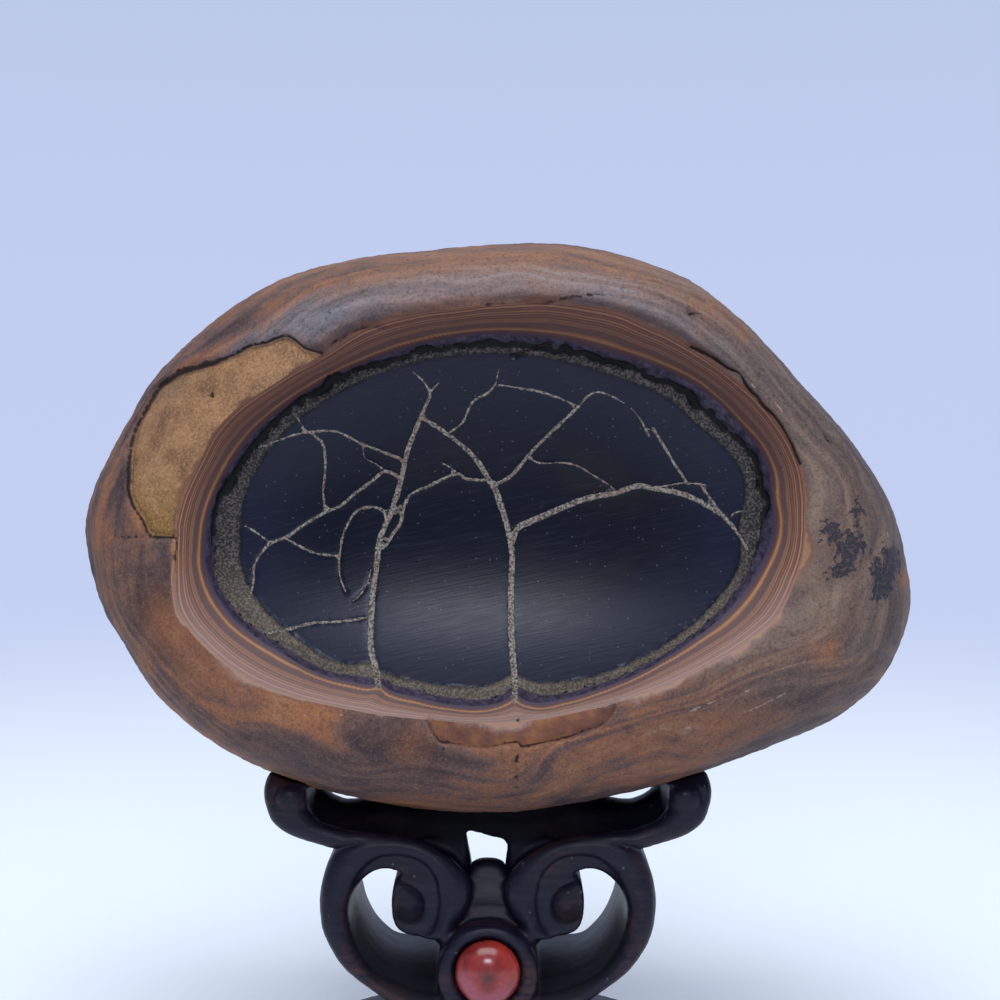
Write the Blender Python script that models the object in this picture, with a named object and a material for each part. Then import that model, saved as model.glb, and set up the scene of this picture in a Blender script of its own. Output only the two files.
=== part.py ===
"""A banded scholar's rock, resting on a carved hardwood scroll stand with one red cabochon.

Outlines and sizes are in millimetres and become metres when built. X runs across the stand, Y from
the front (-) to the back (+), Z up from the ground. The stand is symmetric about X = 0 while it is
built, and at the end everything moves so that the origin is under the middle of the whole object.
"""

import math

import bmesh
import bpy
import numpy as np
from mathutils import Matrix, Vector

MM = 0.001
FIT_GAP = 0.3  # between the stone or the cabochon and the wood that holds it

# --- stone: the oval face, then the girth, then the depths ------------------------------------

OVAL_X, OVAL_Z = 0.5, 106.7  # middle of the oval face
OVAL_HALF_WIDTH, OVAL_HALF_HEIGHT = 49.1, 31.9

# Closed outlines round the oval's middle, as (x, z) from it, anticlockwise from the right.
CORE_EDGE = [
    (44.2, 0), (44.8, 7.8), (41.6, 12.6), (36.8, 16.7), (22.5, 25.3), (11.7, 28.4), (0, 29.5),
    (-11.7, 28.2), (-22.1, 24.9), (-30.9, 20.1), (-37.7, 14.1), (-42.3, 7.3), (-44.2, 0),
    (-44.2, -7.7), (-40.4, -15.2), (-33.2, -21.6), (-23.5, -26.4), (-11.9, -28.8), (0, -29.4),
    (11.5, -28.6), (22.3, -25.2), (31.6, -20.6), (39.1, -14.7), (44.1, -7.7),
]
GROOVE = [
    (48.1, 0), (47.4, 8.2), (42.1, 15.8), (34.7, 22.6), (24.1, 27.1), (12.5, 30.4), (0, 30.8),
    (-12.2, 29.4), (-23.2, 26.1), (-32.7, 21.2), (-40, 15), (-45.3, 7.9), (-48.4, 0),
    (-49.1, -8.6), (-44.7, -16.8), (-34.6, -22.5), (-24.3, -27.4), (-12.4, -30.1), (0, -31.6),
    (12, -30.4), (23.7, -26.7), (33.5, -21.8), (41, -15.4), (45.8, -8),
]
DARK_BAND = [
    (49.9, 0), (49.1, 8.6), (44.2, 16.6), (36.5, 23.8), (25.2, 28.4), (13, 31.7), (0, 32.9),
    (-12.7, 30.9), (-23.9, 26.9), (-33.4, 21.7), (-41.5, 15.6), (-46.3, 8.1), (-49.7, 0),
    (-49.9, -8.6), (-45.6, -17), (-36.5, -23.7), (-25.3, -28.4), (-12.9, -31.1), (0, -32.7),
    (12.6, -31.4), (24.2, -27.2), (34.1, -22.1), (42.1, -15.8), (47.2, -8.2),
]
CREST = [
    (55.2, 0.2), (54.2, 9.6), (49.5, 18.7), (41.1, 26.9), (29.5, 33.4), (15.5, 37.8), (0, 37.9),
    (-14.7, 35.7), (-27.1, 30.7), (-37.3, 24.4), (-46.5, 17.6), (-51.4, 9.1), (-54.7, 0.2),
    (-54.7, -9.4), (-52.4, -19.5), (-42.4, -27.4), (-28.8, -32.2), (-14.3, -34.5), (0, -35.4),
    (14.2, -34.2), (26.9, -30.1), (38.7, -25), (49, -18.2), (53.8, -9.2),
]
GIRTH = [
    (76.3, 0), (73.4, 5.9), (66.4, 15.7), (57.5, 25.2), (53.8, 29.4), (47.3, 36.6),
    (39, 43.9), (24.7, 49.3), (11.2, 51.6), (0, 51.5), (-10.9, 50.5), (-24.4, 48.9),
    (-41.8, 43.5), (-54.3, 35.3), (-63, 26.6), (-68.6, 18), (-72.7, 10), (-76.1, 0),
    (-75.5, -8.7), (-73.4, -15.5), (-68.8, -23.8), (-62.2, -33.9), (-51.6, -42.9),
    (-35.9, -50), (-17.9, -54.6), (0, -56.2), (17.7, -54.2), (35.6, -49.6), (52.6, -43.7),
    (64.9, -38), (72, -32.8), (76.5, -26.4), (79.3, -18.8), (78.5, -9),
]
CORE_MIDDLE_Y, CORE_EDGE_Y = -27.5, -33
GROOVE_Y, DARK_BAND_Y, CREST_Y = -33.4, -35, -38
GIRTH_Y, BACK_Y = 0, 37
FRONT_FULLNESS, BACK_FULLNESS = 2.5, 2.3  # 2 is round, more is squarer
POINTS_ROUND_STONE = 72
CORE_RINGS, RIND_RINGS, BACK_RINGS = 5, 9, 11

# Low forms of the rind, as (x, z) from the oval's middle, half width, half height, outward rise.
RIND_FORMS = [
    ((-66, 14), 12, 15, -1.5),  # the sunken sandy patch
    ((-50, 27), 15, 6, -1.3),
    ((-20, 43), 26, 4, 1.0),  # ridge over the bands
    ((70, -4), 6, 26, 1.0),  # ridge down the right side
    ((62, -30), 18, 7, 0.9),
    ((12, -40), 17, 4, -0.8),  # the tooth-shaped chip under the bands
]
BACK_FORMS = [
    ((-40, 12), 26, 18, 1.8),
    ((34, 20), 24, 16, -1.6),
    ((6, -26), 34, 12, 1.4),
    ((-12, 36), 30, 9, -1.2),
    ((58, -18), 14, 16, 1.5),
]

# --- stand: half outlines, as (x, z); a third value marks a sharp corner ----------------------

STAND_FRONT_Y, STAND_BACK_Y = -22, 17
WEB_FRONT_Y, WEB_BACK_Y = -15.5, 10.5
POST_FRONT_Y, POST_BACK_Y = -9, 5
EDGE_ROUNDING = 1.2
SCROLL = [
    (8.8, 13.2), (14.3, 15), (18.8, 17.6), (22.1, 19.8), (26.2, 23.1), (28.9, 26.8),
    (30.6, 30.8), (31.1, 35.2), (30.7, 39.2), (29.5, 43.1), (28, 45.3, 1), (31.1, 46.2),
    (34, 47.1), (37.1, 48.3), (39.7, 50.4), (40.8, 52.8), (41.4, 55.5), (41, 58.2),
    (39.5, 60.3), (31.6, 59, 1), (32, 55.4), (33.1, 53.3, 1), (31.1, 51.1), (26.2, 49.4),
    (19.7, 48.8), (14.3, 48), (10.6, 46.7), (6.9, 44.4), (4.2, 41.6), (3.1, 38.5),
    (3.6, 34.8), (6, 30.8, 1),
]
SCROLL_EYE = [
    (15.9, 40.9, 1), (18.5, 41.6), (21.2, 41.1), (23.6, 39.2), (25.2, 36.7), (25.8, 34.1),
    (25.2, 30.4), (23.8, 26.8), (21.4, 23.5), (18.3, 21.1), (14.3, 19.4), (9.3, 18.5, 1),
    (9.3, 22.9), (8.8, 28.4, 1), (12.4, 29), (15.5, 29.7), (17.2, 31.3), (17.9, 34.5),
    (17.7, 37.4), (17, 39.6),
]
WEB = [
    (3, 45.4, 1), (3.4, 43), (3.4, 39.5), (4.8, 37, 1), (8.9, 42.4), (16.3, 45.4),
    (26, 47.5, 1), (26, 49.9, 1), (23.6, 51), (21.8, 53.4), (20.3, 57, 1), (12, 56, 1),
]
POST_HALF_WIDTH, POST_TOP_Z, POST_FOOT_Z = 4.1, 39.6, 26
BOSS_Z, BOSS_RADIUS, BOSS_FRONT_Y, BOSS_BACK_Y = 23.2, 9.3, -24.5, 19
BOSS_ROUNDING = 1.7
FOOT = [
    (9, 15.6), (14.5, 13), (19, 10.1), (24.1, 8.6), (27.5, 7.3), (28.7, 4.3), (27.8, 1.3),
    (25.8, 0, 1), (18.5, 0, 1), (16.6, 3.1), (13, 6.3), (7.5, 8.4),
]

# --- cabochon ---------------------------------------------------------------------------------

CABOCHON_RADIUS, CABOCHON_RISE, CABOCHON_SUNK = 5.9, 3.4, 1.4
CABOCHON_Z = 23.9  # a little above the middle of the boss
SOCKET_FLOOR_Y = BOSS_FRONT_Y + 1.9


def clear_scene():
    for obj in list(bpy.data.objects):
        bpy.data.objects.remove(obj, do_unlink=True)


def finish_material(name, colour, roughness, metallic=0.0):
    material = bpy.data.materials.new(name)
    material.use_nodes = True
    shader = material.node_tree.nodes["Principled BSDF"]
    shader.inputs["Base Color"].default_value = (*colour, 1)
    shader.inputs["Roughness"].default_value = roughness
    shader.inputs["Metallic"].default_value = metallic
    return material


def add_object(name, mesh, material=None):
    obj = bpy.data.objects.new(name, mesh)
    bpy.context.scene.collection.objects.link(obj)
    if material:
        mesh.materials.clear()
        mesh.materials.append(material)
    return obj


def make_helper(obj):
    obj.hide_render = True
    obj.display_type = "WIRE"
    return obj


def mesh_of(name, points_mm, faces):
    mesh = bpy.data.meshes.new(name)
    mesh.from_pydata([Vector(p) * MM for p in points_mm], [], faces)
    shape = bmesh.new()
    shape.from_mesh(mesh)
    bmesh.ops.recalc_face_normals(shape, faces=shape.faces)
    bmesh.ops.triangulate(shape, faces=shape.faces)
    shape.to_mesh(mesh)
    shape.free()
    return mesh


# --- stone ------------------------------------------------------------------------------------


def reach(outline, angles):
    """The outline's distance from the oval's middle, in oval radii, at each angle."""
    x, z = np.array(outline, float).T
    x, z = x / OVAL_HALF_WIDTH, z / OVAL_HALF_HEIGHT
    turn = 2 * math.pi
    order = np.argsort(np.arctan2(z, x) % turn)
    knots = (np.arctan2(z, x) % turn)[order]
    values = np.hypot(x, z)[order]
    knots = np.concatenate([knots[-2:] - turn, knots, knots[:2] + turn])
    values = np.concatenate([values[-2:], values, values[:2]])
    slopes = np.gradient(values, knots)
    i = np.clip(np.searchsorted(knots, angles, side="right") - 1, 1, len(knots) - 3)
    span = knots[i + 1] - knots[i]
    t = (angles - knots[i]) / span
    return (
        values[i] * (1 + 2 * t) * (1 - t) ** 2
        + slopes[i] * span * t * (1 - t) ** 2
        + values[i + 1] * t * t * (3 - 2 * t)
        - slopes[i + 1] * span * t * t * (1 - t)
    )


def quarter(steps, fullness):
    """Points of a quarter of a superellipse, from (0, 1) towards (1, 0), leaving out the first."""
    for step in range(1, steps + 1):
        angle = math.pi / 2 * step / steps
        yield math.sin(angle) ** (2 / fullness), math.cos(angle) ** (2 / fullness)


def stone_rings(angles):
    """Each ring of the stone from the middle of the face to the back, as (reach, y)."""
    core = reach(CORE_EDGE, angles)
    crest = reach(CREST, angles)
    girth = reach(GIRTH, angles)
    dark_band = reach(DARK_BAND, angles)
    for ring in range(1, CORE_RINGS + 1):
        part = ring / CORE_RINGS
        yield core * part, CORE_MIDDLE_Y + (CORE_EDGE_Y - CORE_MIDDLE_Y) * part**2
    yield reach(GROOVE, angles), GROOVE_Y
    yield dark_band, DARK_BAND_Y
    for part in (0.35, 0.7):
        yield (
            dark_band + (crest - dark_band) * part,
            DARK_BAND_Y + (CREST_Y - DARK_BAND_Y) * math.sin(part * math.pi / 2),
        )
    yield crest, CREST_Y
    for out, height in quarter(RIND_RINGS, FRONT_FULLNESS):
        yield crest + (girth - crest) * out, GIRTH_Y + (CREST_Y - GIRTH_Y) * height
    for inward, depth in list(quarter(BACK_RINGS, BACK_FULLNESS))[-2::-1]:
        yield girth * inward, BACK_Y + (GIRTH_Y - BACK_Y) * (1 - depth)


def low_forms(forms, x, z):
    """The rise of the low forms at these places across the stone."""
    total = np.zeros_like(x)
    for (at_x, at_z), half_width, half_height, rise in forms:
        away = ((x - at_x) / half_width) ** 2 + ((z - at_z) / half_height) ** 2
        total += rise * np.exp(-away)
    return total


def stone_mesh(name, grow=0.0):
    angles = np.linspace(0, 2 * math.pi, POINTS_ROUND_STONE, endpoint=False)
    crest_ring = CORE_RINGS + 5
    points = [(OVAL_X, CORE_MIDDLE_Y, OVAL_Z)]
    for number, (radius, y) in enumerate(stone_rings(angles), start=1):
        x = radius * OVAL_HALF_WIDTH * np.cos(angles)
        z = radius * OVAL_HALF_HEIGHT * np.sin(angles)
        depth = np.full_like(x, y)
        if number > crest_ring and y < GIRTH_Y:
            depth -= low_forms(RIND_FORMS, x, z) * (y / CREST_Y)
        if y > GIRTH_Y:
            depth += low_forms(BACK_FORMS, x, z) * (y / BACK_Y)
        points += zip(x + OVAL_X, depth, z + OVAL_Z)
    back_rise = float(low_forms(BACK_FORMS, np.zeros(1), np.zeros(1))[0])
    points.append((OVAL_X, BACK_Y + back_rise, OVAL_Z))

    n = POINTS_ROUND_STONE
    rings = (len(points) - 2) // n
    faces = [(0, 1 + i, 1 + (i + 1) % n) for i in range(n)]
    for ring in range(rings - 1):
        a, b = 1 + ring * n, 1 + (ring + 1) * n
        faces += [(a + i, b + i, b + (i + 1) % n, a + (i + 1) % n) for i in range(n)]
    last = 1 + (rings - 1) * n
    faces += [(last + i, len(points) - 1, last + (i + 1) % n) for i in range(n)]
    mesh = mesh_of(name, points, faces)
    if grow:
        offsets = [v.co + v.normal * grow * MM for v in mesh.vertices]
        mesh.vertices.foreach_set("co", np.array(offsets, float).ravel())
    mesh.shade_smooth()
    return mesh


# --- stand ------------------------------------------------------------------------------------


def add_loop(curve, outline):
    """One closed loop of a flat curve. Its corners are sharp where the outline says so."""
    spline = curve.splines.new("BEZIER")
    spline.bezier_points.add(len(outline) - 1)
    spline.use_cyclic_u = True
    for point, (x, z, *sharp) in zip(spline.bezier_points, outline):
        point.co = (x * MM, z * MM, 0)
        point.handle_left_type = point.handle_right_type = "VECTOR" if sharp else "AUTO"


def slab_mesh(name, loops, front, back, rounding, steps=3):
    """A flat outline, with any holes in it, made solid from front to back with rounded edges."""
    curve = bpy.data.curves.new(name, "CURVE")
    curve.dimensions = "2D"
    curve.fill_mode = "BOTH"
    curve.resolution_u = steps
    curve.bevel_depth = rounding * MM
    curve.bevel_resolution = 1
    curve.offset = -rounding * MM
    curve.extrude = ((back - front) / 2 - rounding) * MM
    for loop in loops:
        add_loop(curve, loop)
    guide = bpy.data.objects.new(name, curve)
    bpy.context.scene.collection.objects.link(guide)
    bpy.context.view_layer.update()
    mesh = bpy.data.meshes.new_from_object(
        guide.evaluated_get(bpy.context.evaluated_depsgraph_get())
    )
    bpy.data.objects.remove(guide)
    upright = Matrix.Rotation(math.pi / 2, 4, "X")
    mesh.transform(Matrix.Translation((0, (front + back) / 2 * MM, 0)) @ upright)
    return closed(mesh)


def closed(mesh):
    """The mesh with its seams merged and its faces turned outwards."""
    shape = bmesh.new()
    shape.from_mesh(mesh)
    bmesh.ops.remove_doubles(shape, verts=shape.verts, dist=0.00001)
    bmesh.ops.recalc_face_normals(shape, faces=shape.faces)
    shape.to_mesh(mesh)
    shape.free()
    return mesh


def both_halves(half):
    """A half outline and its mirror image, as one loop."""
    return half + [(-x, z, *sharp) for x, z, *sharp in reversed(half)]


def turned_mesh(name, profile, centre_z, segments=40):
    """A solid turned about a level axis from front to back. The profile holds (radius, y)."""
    points = [(0, profile[0][1], centre_z)]
    for radius, y in profile[1:-1]:
        for i in range(segments):
            angle = 2 * math.pi * i / segments
            points.append((radius * math.cos(angle), y, centre_z + radius * math.sin(angle)))
    points.append((0, profile[-1][1], centre_z))
    rings = len(profile) - 2
    faces = [(0, 1 + i, 1 + (i + 1) % segments) for i in range(segments)]
    for ring in range(rings - 1):
        a, b = 1 + ring * segments, 1 + (ring + 1) * segments
        for i in range(segments):
            j = (i + 1) % segments
            faces.append((a + i, b + i, b + j, a + j))
    last, end = 1 + (rings - 1) * segments, len(points) - 1
    faces += [(last + i, end, last + (i + 1) % segments) for i in range(segments)]
    return mesh_of(name, points, faces)


def boss_mesh():
    """The round boss, with a thick soft rim at the front and a plain face behind."""
    soft = BOSS_ROUNDING
    front, back, radius = BOSS_FRONT_Y, BOSS_BACK_Y, BOSS_RADIUS
    profile = [(0, front)]
    for step in range(4):
        angle = math.pi / 2 * step / 3
        out = radius - soft + soft * math.sin(angle)
        profile.append((out, front + soft - soft * math.cos(angle)))
    for step in range(4):
        angle = math.pi / 2 * step / 3
        out = radius - soft + soft * math.cos(angle)
        profile.append((out, back - soft + soft * math.sin(angle)))
    return turned_mesh("boss", profile + [(0, back)], BOSS_Z)


def post_mesh():
    """The middle post, with a round top."""
    arc = [math.pi * step / 8 for step in range(9)]
    reach_up = POST_TOP_Z - POST_HALF_WIDTH
    outline = [
        (POST_HALF_WIDTH * math.cos(a), reach_up + POST_HALF_WIDTH * math.sin(a), 1) for a in arc
    ]
    outline += [(-6, 33, 1), (-7, POST_FOOT_Z, 1), (7, POST_FOOT_Z, 1), (6, 33, 1)]
    return slab_mesh("post", [outline], POST_FRONT_Y, POST_BACK_Y, 1.0, steps=1)


def socket_mesh():
    radius = CABOCHON_RADIUS + FIT_GAP
    profile = [
        (0, BOSS_FRONT_Y - 3),
        (radius, BOSS_FRONT_Y - 3),
        (radius, SOCKET_FLOOR_Y),
        (0, SOCKET_FLOOR_Y),
    ]
    return turned_mesh("socket", profile, CABOCHON_Z)


def stand(material):
    scroll = [both_halves(SCROLL), SCROLL_EYE, [(-x, z, *sharp) for x, z, *sharp in SCROLL_EYE]]
    front, back = STAND_FRONT_Y, STAND_BACK_Y
    joined = {
        "post": post_mesh(),
        "scroll": slab_mesh("scroll", scroll, front, back, EDGE_ROUNDING, steps=2),
        "web": slab_mesh("web", [both_halves(WEB)], WEB_FRONT_Y, WEB_BACK_Y, 1.0),
        "foot": slab_mesh("foot", [both_halves(FOOT)], front + 1, back - 1, 1.0),
    }
    cut = {"seat": stone_mesh("seat", grow=FIT_GAP), "socket": socket_mesh()}

    wood = add_object("stand", boss_mesh(), material)
    for operation, meshes in (("UNION", joined), ("DIFFERENCE", cut)):
        for name, mesh in meshes.items():
            step = wood.modifiers.new(name, "BOOLEAN")
            step.operation = operation
            step.solver = "EXACT"
            step.object = make_helper(add_object(f"{name}_shape", mesh))
    return wood


def cabochon(material):
    """The red stone: a low dome on a short straight side, sunk in the boss."""
    base = SOCKET_FLOOR_Y - FIT_GAP
    girdle = base - CABOCHON_SUNK
    profile = [(0, girdle - CABOCHON_RISE)]
    for step in range(1, 7):
        angle = math.pi / 2 * step / 6
        rise = CABOCHON_RISE * math.cos(angle)
        profile.append((CABOCHON_RADIUS * math.sin(angle), girdle - rise))
    profile += [(CABOCHON_RADIUS, base), (0, base)]
    mesh = turned_mesh("cabochon", profile, CABOCHON_Z, segments=32)
    mesh.shade_smooth()
    return add_object("cabochon", mesh, material)


def move_origin_under_middle(nodes):
    """Moves everything so that the origin is at the bottom of the whole object's box."""
    bpy.context.view_layer.update()
    graph = bpy.context.evaluated_depsgraph_get()
    corners = np.array([c for obj in nodes for c in obj.evaluated_get(graph).bound_box])
    low, high = corners.min(axis=0), corners.max(axis=0)
    shift = Vector((-(low[0] + high[0]) / 2, -(low[1] + high[1]) / 2, -low[2]))
    for obj in bpy.data.objects:
        obj.location = shift


def main():
    clear_scene()
    stone_colour = finish_material("banded stone", (0.17, 0.10, 0.06), 0.55)
    wood_colour = finish_material("black hardwood", (0.012, 0.011, 0.013), 0.35)
    red_colour = finish_material("red cabochon", (0.45, 0.05, 0.03), 0.15)
    stone = add_object("stone", stone_mesh("stone"), stone_colour)
    nodes = [stone, stand(wood_colour), cabochon(red_colour)]
    move_origin_under_middle(nodes)


main()
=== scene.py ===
"""The looks of a banded scholar's rock on its carved scroll stand.

Lengths are in millimetres until a mesh is made. Shapes are worked out in the stand's own frame, whose
X = 0 is the stand's middle line, and moved by SHIFT into the part's frame when a mesh is made.
Y runs from the front (-) to the back (+) and Z is up. Pixels are those of a 1000 x 1000 picture.
"""

import functools
import itertools
import math

import bpy
import numpy as np
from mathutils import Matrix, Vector
from mathutils.bvhtree import BVHTree
from mathutils.geometry import delaunay_2d_cdt
from mathutils.kdtree import KDTree


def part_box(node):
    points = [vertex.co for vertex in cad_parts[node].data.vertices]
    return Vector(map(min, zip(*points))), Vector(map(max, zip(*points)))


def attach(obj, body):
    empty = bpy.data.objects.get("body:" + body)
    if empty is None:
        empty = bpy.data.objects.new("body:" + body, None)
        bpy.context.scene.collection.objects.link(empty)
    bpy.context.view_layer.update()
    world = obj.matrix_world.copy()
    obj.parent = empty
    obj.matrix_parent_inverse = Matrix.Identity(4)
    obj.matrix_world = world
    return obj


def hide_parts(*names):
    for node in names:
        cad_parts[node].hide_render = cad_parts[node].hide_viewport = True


MM = 0.001
TURN = 2 * math.pi

# --- camera -------------------------------------------------------------------------------------

CAMERA_X, CAMERA_AWAY, CAMERA_Z = 2.25, 370.0, 119.1
FOCAL_PIXELS = 1900.0
MIDDLE_PX, MIDDLE_PY = 500.0, 450.0  # where the camera's level axis meets the picture

# --- stone: outlines ----------------------------------------------------------------------------

OVAL_X, OVAL_Z = 0.5, 106.7
OVAL_HALF_WIDTH, OVAL_HALF_HEIGHT = 49.1, 31.9
OVAL_PX, OVAL_PY = 490.0, 520.0
OVAL_RADIUS_PX, OVAL_RADIUS_PY = 277.0, 180.0

# Rings of the oval face: (degrees clockwise from the right, share of the oval's radius) in the picture.
CORE_EDGE = [
    (0, .90), (15, .93), (30, .93), (45, .935), (57, .94), (65.5, .943), (73, .938), (80.5, .91),
    (84.4, .865), (88, .9), (92.7, .927), (99.4, .933), (107, .932), (115, .93), (118.9, .908),
    (122, .945), (127, .965), (135, .957), (150, .95), (165, .93), (175, .905), (180, .90),
    (195, .89), (210, .885), (225, .89), (240, .90), (255, .915), (270, .925), (285, .92),
    (300, .915), (310, .93), (325, .915), (335, .935), (345, .945), (353, .925),
]
GROOVE = [
    (0, .98), (15, .972), (30, .965), (45, .965), (57, .977), (66.5, .985), (74, .992), (80.5, .972),
    (83, .94), (84.5, .915), (86, .945), (88.3, .975), (92.5, .994), (99, .99), (106, .975), (112, .97),
    (113.8, .956), (115.6, .972), (119, .985), (124, 1.012), (135, 1.018), (150, 1.045), (165, 1.03),
    (172, 1.0), (180, .98), (192, .955), (205, .935), (220, .935), (235, .945), (250, .955),
    (262, .97), (270, .968), (276, .985), (290, .98), (300, .98), (315, .99), (322, .98),
    (330, .99), (345, 1.005), (353, .985),
]
DARK_EDGE = [
    (0, 1.02), (15, 1.005), (30, .995), (45, .99), (59, 1.007), (67.4, 1.018), (75, 1.03), (81.6, 1.024),
    (83.5, .998), (84.9, .965), (86.2, .99), (88.3, 1.016), (92.4, 1.034), (98.5, 1.034), (105.5, 1.02),
    (111, 1.012), (113.4, .994), (115, 1.012), (119, 1.028), (123, 1.047), (135, 1.055), (150, 1.075),
    (165, 1.055), (180, 1.015), (195, .98), (210, .975), (225, .965), (240, .975), (255, 1.005),
    (270, 1.03), (285, 1.03), (292, 1.02), (300, 1.03), (315, 1.05), (330, 1.045), (345, 1.04),
    (354, 1.015),
]
ORANGE_LINE = [
    (0, 1.05), (15, 1.04), (30, 1.03), (45, 1.014), (52, 1.016), (60, 1.029), (68, 1.043), (75, 1.057),
    (81.5, 1.056), (83.6, 1.032), (85, 1.004), (86.4, 1.024), (88.5, 1.045), (92.3, 1.063), (98.3, 1.061),
    (105, 1.049), (111, 1.038), (113.2, 1.018), (114.8, 1.038), (118.6, 1.053), (122.7, 1.069),
    (128, 1.078), (135, 1.085), (150, 1.108), (165, 1.085), (172, 1.06), (180, 1.04), (195, 1.008),
    (210, 1.0), (225, .996), (240, 1.005), (255, 1.03), (270, 1.06), (285, 1.068), (300, 1.065),
    (315, 1.075), (330, 1.062), (337, 1.07), (345, 1.065), (354, 1.045),
]
BAND_EDGE = [
    (0, 1.14), (15, 1.15), (27, 1.17), (35, 1.15), (45, 1.13), (60, 1.115), (70, 1.11), (80, 1.115),
    (90, 1.12), (102, 1.13), (112, 1.16), (120, 1.19), (127, 1.23), (135, 1.24), (145, 1.25),
    (155, 1.24), (165, 1.18), (172, 1.145), (180, 1.13), (195, 1.10), (210, 1.11), (225, 1.09),
    (237, 1.10), (247, 1.16), (262, 1.18), (270, 1.20), (285, 1.24), (290, 1.25), (300, 1.22),
    (307, 1.20), (325, 1.18), (345, 1.16), (355, 1.145),
]
# Outlines in millimetres, as (x, z) from the oval's middle.
CREST = [
    (55.2, 0.2), (54.2, 9.6), (49.5, 18.7), (41.1, 26.9), (29.5, 33.4), (15.5, 37.8), (0, 37.9),
    (-14.7, 35.7), (-27.1, 30.7), (-37.3, 24.4), (-46.5, 17.6), (-51.4, 9.1), (-54.7, 0.2),
    (-54.7, -9.4), (-52.4, -19.5), (-42.4, -27.4), (-28.8, -32.2), (-14.3, -34.5), (0, -35.4),
    (14.2, -34.2), (26.9, -30.1), (38.7, -25), (49, -18.2), (53.8, -9.2),
]
GIRTH = [
    (76.3, 0), (73.4, 5.9), (66.4, 15.7), (57.5, 25.2), (53.8, 29.4), (47.3, 36.6),
    (39, 43.9), (24.7, 49.3), (11.2, 51.6), (0, 51.5), (-10.9, 50.5), (-24.4, 48.9),
    (-41.8, 43.5), (-54.3, 35.3), (-63, 26.6), (-68.6, 18), (-72.7, 10), (-76.1, 0),
    (-75.5, -8.7), (-73.4, -15.5), (-68.8, -23.8), (-62.2, -33.9), (-51.6, -42.9),
    (-35.9, -50), (-17.9, -54.6), (0, -56.2), (17.7, -54.2), (35.6, -49.6), (52.6, -43.7),
    (64.9, -38), (72, -32.8), (76.5, -26.4), (79.3, -18.8), (78.5, -9),
]
CORE_MIDDLE_Y, CORE_EDGE_Y = -27.5, -33
GROOVE_Y, DARK_EDGE_Y, ORANGE_Y, BAND_EDGE_Y, CREST_Y = -33.4, -35, -36, -37.8, -38
GIRTH_Y, BACK_Y = 0, 37
FRONT_FULLNESS, BACK_FULLNESS = 2.5, 2.3
BOWL_REACH = 0.92  # where the dished core comes to CORE_EDGE_Y, in oval radii
RIND_REACH = 1.15  # how far the rind runs from crest to girth when it is laid flat, in oval radii

RIND_FORMS = [
    ((-66, 14), 12, 15, -1.5),  # the sunken sandy patch
    ((-50, 27), 15, 6, -1.3),
    ((-20, 43), 26, 4, 1.0),  # ridge over the bands
    ((70, -4), 6, 26, 1.0),  # ridge down the right side
    ((62, -30), 18, 7, 0.9),
    ((12, -40), 17, 4, -0.8),  # the tooth-shaped chip under the bands
]
BACK_FORMS = [
    ((-40, 12), 26, 18, 1.8),
    ((34, 20), 24, 16, -1.6),
    ((6, -26), 34, 12, 1.4),
    ((-12, 36), 30, 9, -1.2),
    ((58, -18), 14, 16, 1.5),
]

# Relief along the traced lines, in millimetres: (line, where beside it, half width, rise).
RIND_LINE_RELIEF = [
    ("ridge", 0, 1.5, 0.5), ("hollow", 0, 1.6, -0.9), ("patch", 0.15, 0.4, -0.7), ("patch", -1.2, 1, 0.35),
]
LINE_RELIEF = [
    ("upper_ledge", 0, 0.35, -0.5), ("seam", 0, 0.4, -0.4), ("split", 0, 0.25, -0.1),
    ("left_split", 0, 0.25, -0.15), ("pit", 0, 0.7, -0.7),
]
# Cracks with steep sides: (line, half width, depth).
CRACK_DEPTHS = [("crack", 0.5, 1.3), ("top_crack", 0.5, 0.7)]

# --- stone: lines in the picture ----------------------------------------------------------------

VEIN_SCALE = 0.072  # half of a vein's width in millimetres, for each pixel of its width
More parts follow.
